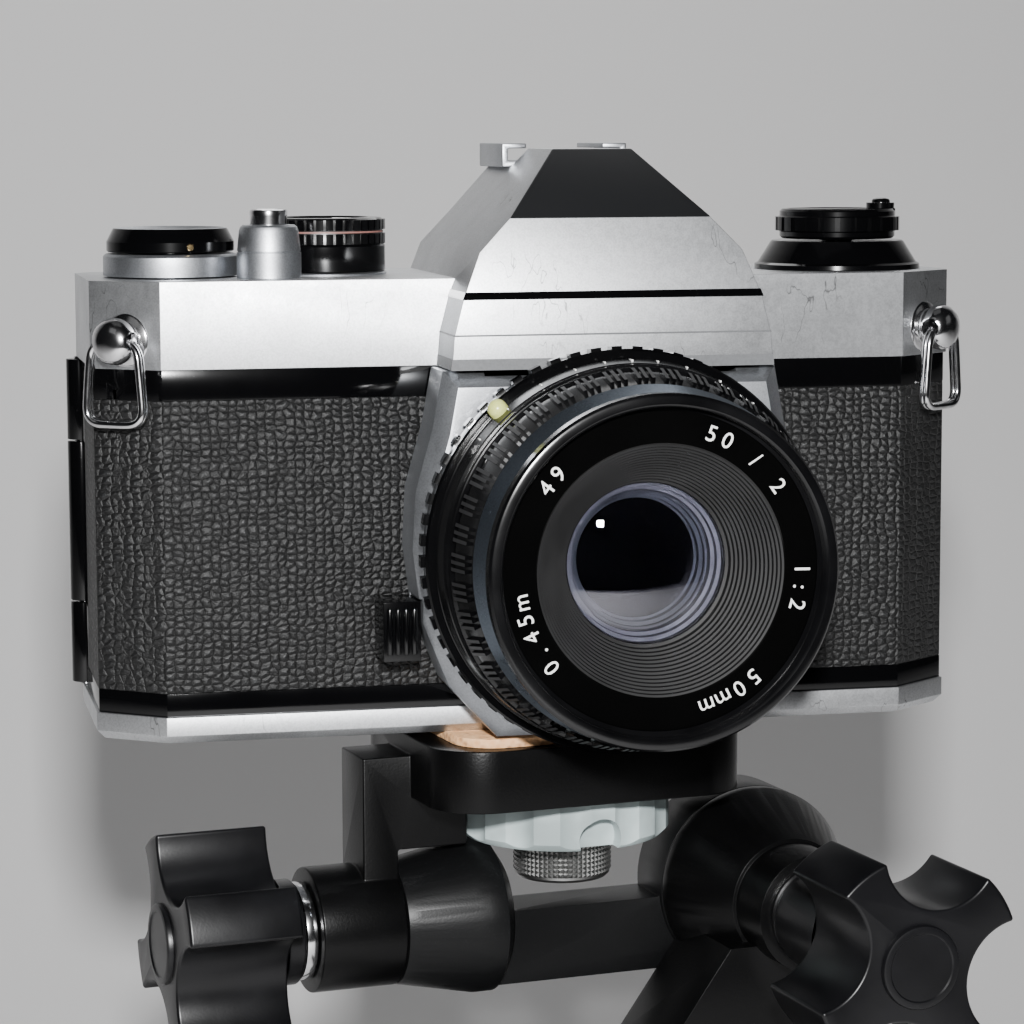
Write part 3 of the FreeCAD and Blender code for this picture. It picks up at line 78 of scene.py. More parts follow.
class Shader:
    def __init__(self, name, **fixed):
        self.material = bpy.data.materials.new(name)
        self.material.use_nodes = True
        self.tree = self.material.node_tree
        self.surface = self.tree.nodes["Principled BSDF"]
        self.coords = self.node("ShaderNodeTexCoord", {}, {}, "Object")
        for socket, value in fixed.items():
            self.surface.inputs[socket.replace("_", " ")].default_value = value

    def node(self, kind, settings, inputs, output=0):
        made = self.tree.nodes.new(kind)
        for key, value in settings.items():
            setattr(made, key, value)
        for key, value in inputs.items():
            if isinstance(value, Value):
                self.tree.links.new(value.socket, made.inputs[key])
            else:
                made.inputs[key].default_value = value
        return Value(self, made.outputs[output])

    def noise(self, scale, detail=3.0, rough=0.5, at=None):
        inputs = {"Vector": at or self.coords, "Scale": scale, "Detail": detail, "Roughness": rough}
        return self.node("ShaderNodeTexNoise", {}, inputs)

    def moved(self, scale=(1, 1, 1), turn=(0, 0, 0), place=(0, 0, 0)):
        inputs = {"Vector": self.coords, "Location": place, "Rotation": turn, "Scale": scale}
        return self.node("ShaderNodeMapping", {}, inputs)

    def axes(self, at=None):
        return [self.node("ShaderNodeSeparateXYZ", {}, {0: at or self.coords}, k) for k in range(3)]

    def mix(self, factor, low, high):
        # sockets 0, 6 and 7 are the factor and the two colours, and output 2 is the mixed colour
        low, high = ((*tone, 1) if isinstance(tone, tuple) else tone for tone in (low, high))
        return self.node("ShaderNodeMix", {"data_type": "RGBA"}, {0: factor, 6: low, 7: high}, 2)

    def feed(self, socket, value):
        self.tree.links.new(value.socket, self.surface.inputs[socket])

    def bump(self, height, depth, strength=1.0):
        bumped = self.node("ShaderNodeBump", {},
                           {"Height": height, "Distance": depth, "Strength": strength})
        self.feed("Normal", bumped)


# the finishes, each made by a function that takes its tones and its grain
def satinChrome(name, tone=(0.60, 0.61, 0.62), rough=0.34, scratches=0.0):
    made = Shader(name, Metallic=1.0)
    blotch = made.noise(140.0, 4.0)
    grain = made.noise(3600.0, 2.0, 0.6)
    worn = made.noise(900.0, 3.0)
    color = made.mix(blotch.spread(0.3, 0.75), tone, tuple(v * 0.86 for v in tone))
    color = made.mix(grain.spread(0.42, 0.62) * 0.5, color, tuple(v * 0.62 for v in tone))
    if scratches:
        warp = made.moved((1.0, 1.0, 0.35), (0.2, 0.6, 0.1))
        lines = made.noise(420.0, 2.0, 0.4, warp)
        mark = (lines - 0.5).math("ABSOLUTE").spread(0.0, 0.010, 1.0, 0.0)
        patch = made.noise(70.0, 2.0).spread(0.56, 0.62)
        color = made.mix(mark * patch * scratches, color, (0.08, 0.08, 0.08))
    made.feed("Base Color", color)
    made.feed("Roughness", blotch * 0.12 + worn * 0.08 + (rough - 0.09))
    made.bump(grain, 0.000008, 0.3)
    return made.material


def polishedMetal(name, tone=(0.72, 0.72, 0.73), rough=0.14):
    made = Shader(name, Metallic=1.0)
    smear = made.noise(500.0, 3.0)
    pits = made.noise(2600.0, 2.0)
    made.feed("Base Color", made.mix(smear.spread(0.4, 0.75), tone, tuple(v * 0.7 for v in tone)))
    made.feed("Roughness", smear * 0.14 + (rough - 0.05))
    made.bump(pits, 0.000008, 0.25)
    return made.material


def blackEnamel(name, tone=(0.0012, 0.0012, 0.0014), rough=0.2, ripple=0.25, dust=0.3, shine=0.35):
    made = Shader(name, Specular_IOR_Level=shine)
    swell = made.noise(260.0, 3.0)
    specks = made.noise(3800.0, 2.0)
    film = made.noise(60.0, 4.0)
    dusty = specks.spread(0.70, 0.78) * dust
    color = made.mix(dusty, tone, (0.03, 0.03, 0.029))
    made.feed("Base Color", color)
    made.feed("Roughness", film * 0.16 + dusty * 0.4 + (rough - 0.08))
    made.bump(swell, 0.00005, ripple)
    return made.material


def leatherette(name):
    # pebbles stand in rough rows and columns, parted by creases that wander
    made = Shader(name, Specular_IOR_Level=0.45)
    wander = made.node("ShaderNodeTexNoise", {}, {"Vector": made.coords, "Scale": 210.0, "Detail": 3.0}, 1)
    shift = made.node("ShaderNodeVectorMath", {"operation": "MULTIPLY"},
                      {0: wander, 1: (0.0016, 0.0016, 0.0016)})
    bent = made.node("ShaderNodeVectorMath", {"operation": "ADD"}, {0: made.coords, 1: shift})
    grid = made.node("ShaderNodeMapping", {}, {"Vector": bent, "Scale": (680.0, 340.0, 900.0)})
    edge = made.node("ShaderNodeTexVoronoi", {"feature": "DISTANCE_TO_EDGE"},
                     {"Vector": grid, "Scale": 1.0, "Randomness": 0.5})
    small = made.node("ShaderNodeTexVoronoi", {"feature": "F1"},
                      {"Vector": grid, "Scale": 2.3, "Randomness": 1.0})
    pebble = edge.spread(0.0, 0.42).math("POWER", 0.7)
    crumple = made.noise(3000.0, 4.0, 0.65)
    height = pebble * 0.75 + (1.0 - small) * 0.22 + crumple * 0.34
    # pebble tops lighter than the valleys between them: partly wear rubbed into the tops, partly painted
    # shade in the valleys
    wornTopsShadedValleys = (pebble * crumple).spread(0.36, 0.66)
    made.feed("Base Color", made.mix(wornTopsShadedValleys, (0.0010, 0.0010, 0.0011), (0.019, 0.020, 0.021)))
    made.feed("Roughness", 0.50 - wornTopsShadedValleys * 0.22 + crumple * 0.12)
    made.bump(height, 0.0004, 1.0)
    return made.material


def moulded(name, tone=(0.012, 0.012, 0.013), rough=0.38, grainSize=3000.0, grain=0.4, depth=0.00002,
            shine=0.4):
    made = Shader(name, Specular_IOR_Level=shine)
    skin = made.noise(grainSize, 3.0)
    patch = made.noise(90.0, 3.0)
    lighter = tuple(v * 1.9 + 0.0006 for v in tone)
    made.feed("Base Color", made.mix(patch.spread(0.35, 0.75), tone, lighter))
    made.feed("Roughness", patch * 0.2 + (rough - 0.1))
    made.bump(skin, depth, grain)
    return made.material


def castEnamel(name, tone=(0.0012, 0.0012, 0.0013), rough=0.34, size=2600.0, depth=0.00003):
    # black paint over a die casting: a fine orange peel that sparkles where the light grazes it, with
    # lighter specks in its colour as painted glints
    made = Shader(name, Specular_IOR_Level=0.16)
    peel = made.noise(size, 3.0, 0.55)
    patch = made.noise(80.0, 3.0)
    paintedGlints = made.noise(size * 1.4, 2.0)
    # fine lighter specks in the colour: painted glints
    made.feed("Base Color", made.mix(paintedGlints.spread(0.6, 0.8), tone, tuple(v * 3.0 for v in tone)))
    made.feed("Roughness", patch * 0.16 + (rough - 0.08))
    made.bump(peel, depth, 0.8)
    return made.material


def corkFinish():
    made = Shader("corkFinish", Roughness=0.85)
    cells = made.node("ShaderNodeTexVoronoi", {"feature": "F1"}, {"Vector": made.coords, "Scale": 900.0},
                      0)
    dark = made.noise(700.0, 3.0)
    color = made.mix(dark.spread(0.5, 0.72), (0.62, 0.33, 0.15), (0.25, 0.11, 0.05))
    made.feed("Base Color", made.mix(cells.spread(0.2, 0.8), color, (0.7, 0.42, 0.22)))
    made.bump(cells + dark, 0.0002, 0.7)
    return made.material


def clothFinish():
    made = Shader("shutterCloth", Roughness=0.8)
    x, y, z = made.axes()
    weave = (x * 9000.0).math("SINE") + (z * 9000.0).math("SINE")
    made.feed("Base Color", made.mix(weave.spread(-1.6, 1.8), (0.006, 0.006, 0.006), (0.02, 0.02, 0.021)))
    made.bump(weave, 0.00004, 0.6)
    return made.material


def coatedGlass(name, tint=(0.64, 0.63, 0.72), clear=1.0, shine=0.12):
    made = Shader(name, Transmission_Weight=clear, IOR=1.52, Specular_IOR_Level=shine)
    facing = made.node("ShaderNodeLayerWeight", {}, {"Blend": 0.35}, 1)
    haze = made.noise(120.0, 3.0)
    made.feed("Base Color", made.mix(facing.spread(0.15, 0.8), tint, (0.66, 0.70, 0.72)))
    made.feed("Roughness", haze.spread(0.5, 0.8, 0.0, 0.02))
    return made.material


def paint(name, tone, rough=0.5):
    made = Shader(name)
    grain = made.noise(2500.0, 3.0)
    made.feed("Base Color", made.mix(grain.spread(0.3, 0.8), tone, tuple(v * 0.72 for v in tone)))
    made.feed("Roughness", grain * 0.2 + (rough - 0.1))
    made.bump(grain, 0.00003, 0.3)
    return made.material


def agedBead():
    made = Shader("beadPlastic", Roughness=0.28, Subsurface_Weight=0.3)
    made.surface.inputs["Subsurface Radius"].default_value = (0.001, 0.001, 0.0005)
    cloud = made.noise(900.0, 3.0)
    made.feed("Base Color", made.mix(cloud, (0.62, 0.66, 0.22), (0.40, 0.42, 0.13)))
    return made.material


chrome = satinChrome("satinChrome", (0.56, 0.57, 0.585), 0.42, scratches=0.8)
chromeRight = satinChrome("satinTrim", (0.45, 0.465, 0.49), 0.42)
polished = polishedMetal("polishedSteel")
# a brighter polished metal for the cone's front edge: painted highlight
paintedRimHighlight = polishedMetal("paintedRimHighlight", (0.55, 0.55, 0.55), 0.3)
enamel = blackEnamel("blackEnamel", rough=0.10, ripple=0.1)
panelPaint = blackEnamel("panelPaint", (0.0065, 0.0068, 0.0075), 0.5, 0.1, 0.1, 0.25)
nameBlack = blackEnamel("nameBlack", (0.0009, 0.0009, 0.0009), 0.12, 0.05, 0.1, 0.3)
grain = leatherette("leatherette")
lensBlack = moulded("lensBlack", (0.0014, 0.0014, 0.0016), 0.18, 5000.0, 0.2, 0.00001)
gripGrey = moulded("gripGrey", (0.010, 0.010, 0.0105), 0.4, 3000.0, 0.3, 0.00001)
lensMatt = moulded("lensMatt", (0.0022, 0.0022, 0.0024), 0.45, 4000.0, 0.3, 0.00001, 0.3)
controlBlack = blackEnamel("controlBlack", (0.0012, 0.0012, 0.0014), 0.14, 0.1, 0.1)
coneMetal = satinChrome("coneMetal", (0.16, 0.19, 0.23), 0.28)
castBlack = castEnamel("castBlack")
castGrey = castEnamel("castGrey", (0.0030, 0.0031, 0.0033), 0.38, 3200.0, 0.00002)
knobPlastic = moulded("knobPlastic", (0.0018, 0.0018, 0.0022), 0.34, 2400.0, 0.45, 0.00002, 0.3)
greyPlastic = moulded("greyPlastic", (0.22, 0.26, 0.26), 0.46, 1500.0, 0.3, 0.00002)
softBlack = moulded("softBlack", (0.004, 0.004, 0.004), 0.7, 1800.0, 0.6, 0.00006, 0.3)
screwMetal = polishedMetal("screwMetal", (0.26, 0.26, 0.255), 0.36)
cork = corkFinish()
cloth = clothFinish()
whitePaint = paint("whitePaint", (0.80, 0.80, 0.78))
orangePaint = paint("orangePaint", (0.75, 0.16, 0.04))
paleRed = paint("paleRed", (0.22, 0.10, 0.085))
# mid-grey paint for bands that stand for shade: painted shade
shadeBandPaint = paint("shadeBandPaint", (0.10, 0.103, 0.108), 0.5)
frontCoating = coatedGlass("frontCoating")
clearGlass = coatedGlass("clearGlass", (0.92, 0.95, 0.97), 1.0, 0.5)
mirrorSilver = polishedMetal("mirrorSilver", (0.9, 0.9, 0.9), 0.08)
print("finishes made")


# selecting, shaping and placing a piece
def rest():
    if bpy.context.mode != "OBJECT":
        bpy.ops.object.mode_set(mode="OBJECT")
    bpy.ops.object.select_all(action="DESELECT")


def alone(piece):
    rest()
    piece.select_set(True)
    bpy.context.view_layer.objects.active = piece


def edit(piece, kind="FACE", everything=True):
    alone(piece)
    bpy.ops.object.mode_set(mode="EDIT")
    bpy.ops.mesh.select_mode(type=kind)
    bpy.ops.mesh.select_all(action="SELECT" if everything else "DESELECT")


def pickFaces(piece, test):
    # selects the faces whose centre and normal pass the test, and stays in edit mode
    edit(piece, "FACE", False)
    bpy.ops.object.mode_set(mode="OBJECT")
    for face in piece.data.polygons:
        face.select = bool(test(face.center, face.normal))
    bpy.ops.object.mode_set(mode="EDIT")


def liftFaces(piece, test, height):
    # lifts the faces that pass the test along their normals
    pickFaces(piece, test)
    bpy.ops.mesh.extrude_region_move()
    bpy.ops.transform.shrink_fatten(value=height * mm)
    rest()


def settle(piece, matrix):
    # puts a piece drawn at the origin in its place, and keeps that place in its mesh
    alone(piece)
    piece.matrix_world = matrix
    bpy.ops.object.transform_apply(location=True, rotation=True, scale=True)


def at(x, y, z):
    return Matrix.Translation(Vector((x, y, z)) * mm)


def turned(name, outline, sides=96, cap=False, closed=False):
    # a ring of points, extruded and resized from one (radius, height) of the outline to the next
    rest()
    radius, height = outline[0]
    bpy.ops.mesh.primitive_circle_add(vertices=sides, radius=radius * mm, location=(0, 0, 0))
    piece = bpy.context.object
    piece.name = name
    edit(piece, "VERT")
    bpy.ops.transform.translate(value=(0, 0, height * mm))
    for nextRadius, nextHeight in outline[1:]:
        rise = (0, 0, (nextHeight - height) * mm)
        bpy.ops.mesh.extrude_region_move(TRANSFORM_OT_translate={"value": rise})
        ratio = max(nextRadius, 0.01) / radius
        bpy.ops.transform.resize(value=(ratio, ratio, 1), center_override=(0, 0, nextHeight * mm))
        radius, height = max(nextRadius, 0.01), nextHeight
    if radius < 0.02:
        bpy.ops.mesh.merge(type="CENTER")
    if cap or closed:
        bpy.ops.object.mode_set(mode="OBJECT")
        last = len(piece.data.vertices) - sides
        for vertex in piece.data.vertices:
            vertex.select = vertex.index < sides or (closed and vertex.index >= last)
        bpy.ops.object.mode_set(mode="EDIT")
        if closed:
            bpy.ops.mesh.bridge_edge_loops()
        else:
            bpy.ops.mesh.edge_face_add()
    bpy.ops.mesh.select_all(action="SELECT")
    bpy.ops.mesh.normals_make_consistent(inside=False)
    rest()
    return piece


def rounded(piece, width, segments=2, angle=35.0):
    alone(piece)
    soften = piece.modifiers.new("soften", "BEVEL")
    soften.width = width * mm
    soften.segments = segments
    soften.limit_method = "ANGLE"
    soften.angle_limit = math.radians(angle)
    soften.use_clamp_overlap = True
    soften.miter_outer = "MITER_ARC"
    bpy.ops.object.modifier_apply(modifier="soften")


def dressed(piece, materials, body, stands=(), smooth=32.0):
    # a finished piece: its finishes, its body and the nodes it stands for
    alone(piece)
    if not isinstance(materials, (list, tuple)):
        materials = [materials]
    for index, material in enumerate(materials):
        if index < len(piece.data.materials):
            piece.data.materials[index] = material
        else:
            piece.data.materials.append(material)
    bpy.ops.object.shade_smooth_by_angle(angle=math.radians(smooth))
    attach(piece, body)
    if stands:
        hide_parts(*stands)
    rest()
    return piece


def bodyOf(node):
    for name, members in frame["record"]["behaviour"]["bodies"].items():
        if node in members:
            return name


def copied(node, name):
    # a CAD node's shape as one clean mesh with flat faces joined
    rest()
    piece = frame["nodes"][node].copy()
    piece.data = piece.data.copy()
    piece.name = name
    piece.parent = None
    for key in list(piece.keys()):
        del piece[key]
    bpy.context.scene.collection.objects.link(piece)
    piece.hide_render = False
    piece.hide_viewport = False
    piece.hide_set(False)
    edit(piece, "VERT")
    bpy.ops.mesh.remove_doubles(threshold=0.00001)
    bpy.ops.mesh.dissolve_limited(angle_limit=math.radians(0.5))
    piece.data.materials.clear()
    rest()
    return piece


def softened(node, name, material, width, segments=2, angle=35.0, smooth=32.0):
    piece = copied(node, name)
    rounded(piece, width, segments, angle)
    return dressed(piece, material, bodyOf(node), [node], smooth)


def colorFaces(piece, index, test):
    # gives the faces that pass the test the finish of that number
    rest()
    for face in piece.data.polygons:
        if test(face.center, face.normal):
            face.material_index = index


def numeral(name, words, height, place, lift=0.12):
    # raised figures: a text made a mesh, centred on the local origin, then moved by a matrix
    rest()
    bpy.ops.object.text_add(location=(0, 0, 0))
    letters = bpy.context.object
    letters.name = name
    letters.data.body = words
    letters.data.size = height * mm
    letters.data.align_x = "CENTER"
    letters.data.align_y = "CENTER"
    letters.data.extrude = lift * mm / 2
    letters.data.resolution_u = 3
    bpy.ops.object.convert(target="MESH")
    letters = bpy.context.object
    settle(letters, place)
    return letters


def middle(node):
    low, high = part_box(node)
    return (low + high) / (2 * mm)


def edges(node):
    low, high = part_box(node)
    return low / mm, high / mm


# the camera, the floor with its wall, and the lights
viewpoint = {
    "place": (-114.37, -491.84, 243.86),
    "target": (-11.41, -15.0, 184.5),
    "roll": -0.21,
    "lens": 110.6,
}


def makeViewpoint():
    rest()
    bpy.ops.object.camera_add(location=Vector(viewpoint["place"]) * mm)
    camera = bpy.context.object
    aim = Vector(viewpoint["target"]) - Vector(viewpoint["place"])
    turn = aim.to_track_quat("-Z", "Y").to_matrix().to_4x4()
    roll = Matrix.Rotation(math.radians(viewpoint["roll"]), 4, "Z")
    camera.matrix_world = Matrix.Translation(Vector(viewpoint["place"]) * mm) @ turn @ roll
    camera.data.lens = viewpoint["lens"]
    camera.data.sensor_width = 36
    camera.data.clip_start = 0.01
    bpy.context.scene.camera = camera


studio = {
    "floorWidth": 3.2,
    "floorFront": -0.45,
    "floorBack": 0.50,
    "wallHeight": 1.4,
    "wallRound": 0.3,
    "wallTone": (0.72, 0.715, 0.715),
    "skyTone": (0.86, 0.9, 1.0),
    "skyStrength": 0.010,
    # name, place, target, size, power
    "lights": (
        ("flash", (-0.112, -0.505, 0.320), (-0.01, 0.05, 0.21), 0.03, 8.0),
        ("bounce", (-0.95, -0.85, 1.15), (0.0, 0.0, 0.18), 0.7, 0.3),
        ("windowRight", (1.2, -0.5, 0.65), (0.0, 0.0, 0.18), 0.6, 0.15),
        ("overhead", (-0.1, 0.0, 1.5), (0.0, 0.0, 0.1), 0.8, 0.15),
        ("backFill", (0.1, 0.40, 0.58), (0.0, 0.0, 0.17), 0.3, 0.7),
    ),
}


def clearFromBehind(shader):
    # the paper can be looked through from its back, so the object is seen from every side
    facing = shader.node("ShaderNodeNewGeometry", {}, {}, "Backfacing")
    clear = shader.node("ShaderNodeBsdfTransparent", {}, {})
    blend = shader.node("ShaderNodeMixShader", {},
                        {0: facing, 1: Value(shader, shader.surface.outputs[0]), 2: clear})
    shader.tree.links.new(blend.socket, shader.tree.nodes["Material Output"].inputs[0])


def makeStudio():
    rest()
    bpy.ops.mesh.primitive_plane_add(size=1, location=(0, 0, 0))
    sweep = bpy.context.object
    sweep.name = "sweep"
    depth = studio["floorBack"] - studio["floorFront"]
    settle(sweep, Matrix.Translation((0, studio["floorFront"] + depth / 2, 0)) @
           Matrix.Diagonal((studio["floorWidth"], depth, 1, 1)))
    edit(sweep, "EDGE", False)
    bpy.ops.object.mode_set(mode="OBJECT")
    for edge in sweep.data.edges:
        edge.select = all(sweep.data.vertices[v].co.y > studio["floorBack"] - 0.01 for v in edge.vertices)
    bpy.ops.object.mode_set(mode="EDIT")
    bpy.ops.mesh.extrude_region_move(TRANSFORM_OT_translate={"value": (0, 0, studio["wallHeight"])})
    rest()
    rounded(sweep, studio["wallRound"] / mm, 16, 30.0)
    edit(sweep)
    bpy.ops.mesh.normals_make_consistent(inside=False)
    rest()
    if sum(face.normal.z * face.area for face in sweep.data.polygons) < 0:
        edit(sweep)
        bpy.ops.mesh.flip_normals()
    alone(sweep)
    bpy.ops.object.shade_smooth()
    wall = Shader("wallPaper", Roughness=0.9)
    mottle = wall.noise(3.0, 3.0)
    tone = studio["wallTone"]
    wall.feed("Base Color", wall.mix(mottle.spread(0.3, 0.7), tone, tuple(v * 0.97 for v in tone)))
    clearFromBehind(wall)
    sweep.data.materials.append(wall.material)
    for name, place, target, size, power in studio["lights"]:
        rest()
        bpy.ops.object.light_add(type="AREA", location=place)
        light = bpy.context.object
        light.name = name
        light.rotation_euler = (Vector(target) - Vector(place)).to_track_quat("-Z", "Y").to_euler()
        light.data.size = size
        light.data.energy = power
    world = bpy.data.worlds.new("softSky")
    bpy.context.scene.world = world
    world.use_nodes = True
    background = world.node_tree.nodes["Background"]
    background.inputs[0].default_value = (*studio["skyTone"], 1)
    background.inputs[1].default_value = studio["skyStrength"]


makeViewpoint()
makeStudio()
print("studio made")


# lens pieces are made with local Z forward from the flange and local Y up
lensAxis = middle("aperture_ring")
flangeY = edges("front_casting")[0].y
lensFrame = at(lensAxis.x, flangeY, lensAxis.z) @ frontAim


def forward(node):
    # how far in front of the flange a node begins and ends
    low, high = edges(node)
    return flangeY - high.y, flangeY - low.y


def away(point):
    # from the local axis, in mm
    return math.hypot(point.x, point.y) / mm


def sector(point, sides, group):
    # which of the sides a point is in, counted round the local axis in groups
    return int(math.degrees(math.atan2(point.y, point.x)) % 360 * sides / 360) % group


apertureRing = {"teeth": 60, "rear": 30.4, "front": 31.2, "bore": 25.3, "toothDepth": 0.75}


def makeApertureRing():
    start, end = forward("aperture_ring")
    values = apertureRing
    rear, front, bore = values["rear"], values["front"], values["bore"]
    outline = [(bore, start), (rear - 0.6, start), (rear - 0.2, start + 0.25), (rear - 0.2, start + 0.6),
               (rear - 0.1, start + 2.1), (rear, start + 3.3), (rear - 0.5, start + 3.5),
               (front - 0.6, start + 3.8), (front - 0.3, end - 0.4), (front - 0.6, end), (bore, end)]
    sides = values["teeth"] * 6
    ring = turned("apertureRing", outline, sides, closed=True)
    low, high = (start + 0.6) * mm, (start + 3.3) * mm

    def tooth(centre, normal):
        outside = away(centre) > rear - 1
        return outside and low < centre.z < high and sector(centre, sides, 6) < 3
    liftFaces(ring, tooth, values["toothDepth"])
    settle(ring, lensFrame)
    dressed(ring, controlBlack, "aperture", ["aperture_ring"], 25.0)


scaleRing = {"rear": 29.6, "front": 29.0, "bore": 25.0, "groove": 0.35}


def makeLensBarrel():
    # the fixed scale ring with two turned grooves, on the tube that carries every other ring
    start, end = forward("lens_barrel")
    inner = 22.3
    rear = forward("aperture_ring")[1] + 0.3
    front = forward("focus_ring")[0] - 0.3
    bore, outer, tip, cut = scaleRing["bore"], scaleRing["rear"], scaleRing["front"], scaleRing["groove"]
    outline = [(inner, start), (inner + 1.3, start), (inner + 1.3, 1.45), (bore, 1.45), (bore, rear),
               (outer, rear), (outer, rear + 0.5), (outer - cut, rear + 0.7), (outer - cut, rear + 1.1),
               (outer - 0.05, rear + 1.3), (tip + 0.1, front - 1.6), (tip - cut, front - 1.4),
               (tip - cut, front - 1.0), (tip, front - 0.8), (tip, front), (bore, front), (bore, end),
               (inner + 0.3, end)]
    barrel = turned("scaleRing", outline, 144, closed=True)
    settle(barrel, lensFrame)
    dressed(barrel, lensBlack, "camera", ["lens_barrel"], 25.0)
    places = []
    for spread in (-52, -40, -28, -17, -8, 8, 17, 28, 40, 52):
        places.append((spread, 0.22, 1.1, whitePaint if spread % 3 else orangePaint))
    places.append((0, 0.32, 1.8, whitePaint))
    for count, (spread, width, length, color) in enumerate(places):
        rest()
        bpy.ops.mesh.primitive_cube_add(size=1, location=(0, 0, 0))
        tick = bpy.context.object
        tick.name = f"depthTick{count}"
        ring = Matrix.Rotation(math.radians(spread), 4, "Z")
        settle(tick, lensFrame @ ring @ at(0, outer - 0.32, rear + 2.2) @
               Matrix.Diagonal((width * mm, 0.5 * mm, length * mm, 1)))
        rounded(tick, 0.04, 1)
        dressed(tick, color, "camera")


focusGrip = {"groups": 41, "rear": 28.7, "front": 26.7, "bore": 25.3, "ribHeight": 0.62}


def makeFocusRing():
    start, end = forward("focus_ring")
    rear, front, bore = focusGrip["rear"], focusGrip["front"], focusGrip["bore"]
    outline = [(bore, start), (rear - 0.5, start), (rear, start + 0.3), (rear, start + 1.3),
               (rear - 0.5, start + 1.6), (rear - 0.55, start + 2.4), (rear - 0.8, start + 3.6),
               (front + 0.3, end - 1.4), (front + 0.1, end - 0.9), (front - 0.1, end - 0.3),
               (front - 0.4, end), (bore, end)]
    sides = focusGrip["groups"] * 8
    ring = turned("focusRing", outline, sides, closed=True)
    low, high = (start + 2.4) * mm, (end - 1.4) * mm

    def rib(centre, normal):
        outside = away(centre) > front - 0.5
        return outside and low < centre.z < high and sector(centre, sides, 8) in (0, 2, 4)
    liftFaces(ring, rib, focusGrip["ribHeight"])
    ribTop = rear - 0.55 + focusGrip["ribHeight"] - 0.12
    colorFaces(ring, 1, lambda c, n: low < c.z < high and away(c) > ribTop - (c.z - low) * 0.24 / mm)
    settle(ring, lensFrame)
    dressed(ring, [lensBlack, gripGrey], "focus", ["focus_ring"], 25.0)


frontRing = {"cone": 26.8, "coneFront": 25.4, "rim": 26.1, "thread": 24.25, "nameOuter": 23.5,
             "nameInner": 18.5, "glass": 12.6, "ribs": 13, "recess": 9.0, "filterDepth": 2.8}


def makeFrontRing():
    values = frontRing
    end = forward("front_barrel")[1]
    coneStart = forward("focus_ring")[1] + 0.5
    rim = end - 5.0
    cone, tip, wide, thread = values["cone"], values["coneFront"], values["rim"], values["thread"]
    tube = 22.3
    outline = [(tube, coneStart - 6), (tube, coneStart), (cone - 0.3, coneStart), (cone, coneStart + 0.25),
               (tip, rim - 0.5), (tip - 0.15, rim - 0.15), (tip - 0.5, rim), (tip - 0.5, rim + 1.0),
               (wide - 0.2, rim + 1.9), (wide, rim + 2.3), (wide, end - 0.6), (wide - 0.35, end - 0.12),
               (wide - 0.7, end), (thread + 0.3, end), (thread + 0.05, end - 0.15)]
    for turn in range(4):
        height = end - 0.45 - turn * 0.55
        outline += [(thread - 0.16, height), (thread + 0.05, height - 0.28)]
    floor = end - values["filterDepth"]
    outline += [(thread, floor), (values["nameOuter"], floor), (values["nameOuter"], floor - 0.9),
                (tube, floor - 1.2)]
    ring = turned("frontRing", outline, 160, closed=True)
    rear, front = (coneStart + 0.2) * mm, (rim - 0.1) * mm
    colorFaces(ring, 1, lambda c, n: rear < c.z < front and away(c) > tip - 0.2)
    # a thin band of brighter metal at the cone's front edge: painted highlight
    colorFaces(ring, 2, lambda c, n: front - 0.45 * mm < c.z < front and away(c) > tip - 0.6)
    settle(ring, lensFrame)
    dressed(ring, [lensBlack, coneMetal, paintedRimHighlight], "lens_front", ["front_barrel"], 25.0)


def makeInnerCone():
    # fine steps that fall from the name ring to the front glass
    values = frontRing
    floor = forward("front_barrel")[1] - values["filterDepth"]
    wide, narrow, depth, count = values["nameInner"], values["glass"], values["recess"], values["ribs"]
    outline = [(wide, floor - 0.1)]
    for rib in range(count):
        share = (rib + 1) / count
        radius = wide + (narrow - wide) * share
        height = floor - 0.1 - (depth - 0.4) * share ** 1.1
        outline += [(radius + 0.12, outline[-1][1] - 0.05), (radius, height)]
    outline += [(narrow, floor - depth), (narrow - 0.6, floor - depth - 0.1),
                (narrow - 0.6, floor - depth - 2.5), (wide + 1.5, floor - depth - 2.5),
                (wide + 3.2, floor - 1.2), (wide + 1, floor - 0.9)]
    cone = turned("innerCone", outline, 128, closed=True)
    settle(cone, lensFrame)
    dressed(cone, lensMatt, "lens_front", (), 20.0)


def makeNameRing():
    values = frontRing
    floor = forward("front_barrel")[1] - values["filterDepth"]
    outer, inner = values["nameOuter"], values["nameInner"]
    outline = [(outer, floor - 0.75), (outer, floor - 0.15), (outer - 0.15, floor), (inner + 0.2, floor),
               (inner, floor - 0.12), (inner, floor - 0.75)]
    ring = turned("nameRing", outline, 128, closed=True)
    settle(ring, lensFrame)
    dressed(ring, nameBlack, "lens_front", ["name_ring"], 25.0)
    # figures run clockwise, their feet towards the glass
    arcs = (("1:2", 352, 7.2), ("50mm", 300, 7.4), ("0.45m", 205, 7.2), ("49", 140, 7.2),
            ("50 / 2", 52, 7.0))
    count = 0
    for words, centre, step in arcs:
        for place, sign in enumerate(words):
            if sign == " ":
                continue
            angle = math.radians(centre - (place - (len(words) - 1) / 2) * step)
            radius = (outer + inner) / 2 + 0.1
            spot = lensFrame @ at(radius * math.cos(angle), radius * math.sin(angle), floor)
            letter = numeral(f"ringFigure{count}", sign, 3.4,
                             spot @ Matrix.Rotation(angle - math.pi / 2, 4, "Z"), 0.1)
            dressed(letter, whitePaint, "lens_front")
            count += 1


def lensShell(name, radius, bulge, height, thickness, material):
    outline = [(radius, height)]
    steps = 9
    for k in range(1, steps + 1):
        share = 1 - k / steps
        outline.append((radius * share, height + bulge * (1 - share ** 2)))
    glass = turned(name, outline, 96)
    edit(glass)
    bpy.ops.mesh.normals_make_consistent(inside=False)
    rest()
    alone(glass)
    wall = glass.modifiers.new("wall", "SOLIDIFY")
    wall.thickness = thickness * mm
    wall.offset = -1
    bpy.ops.object.modifier_apply(modifier="wall")
    settle(glass, lensFrame)
    return glass


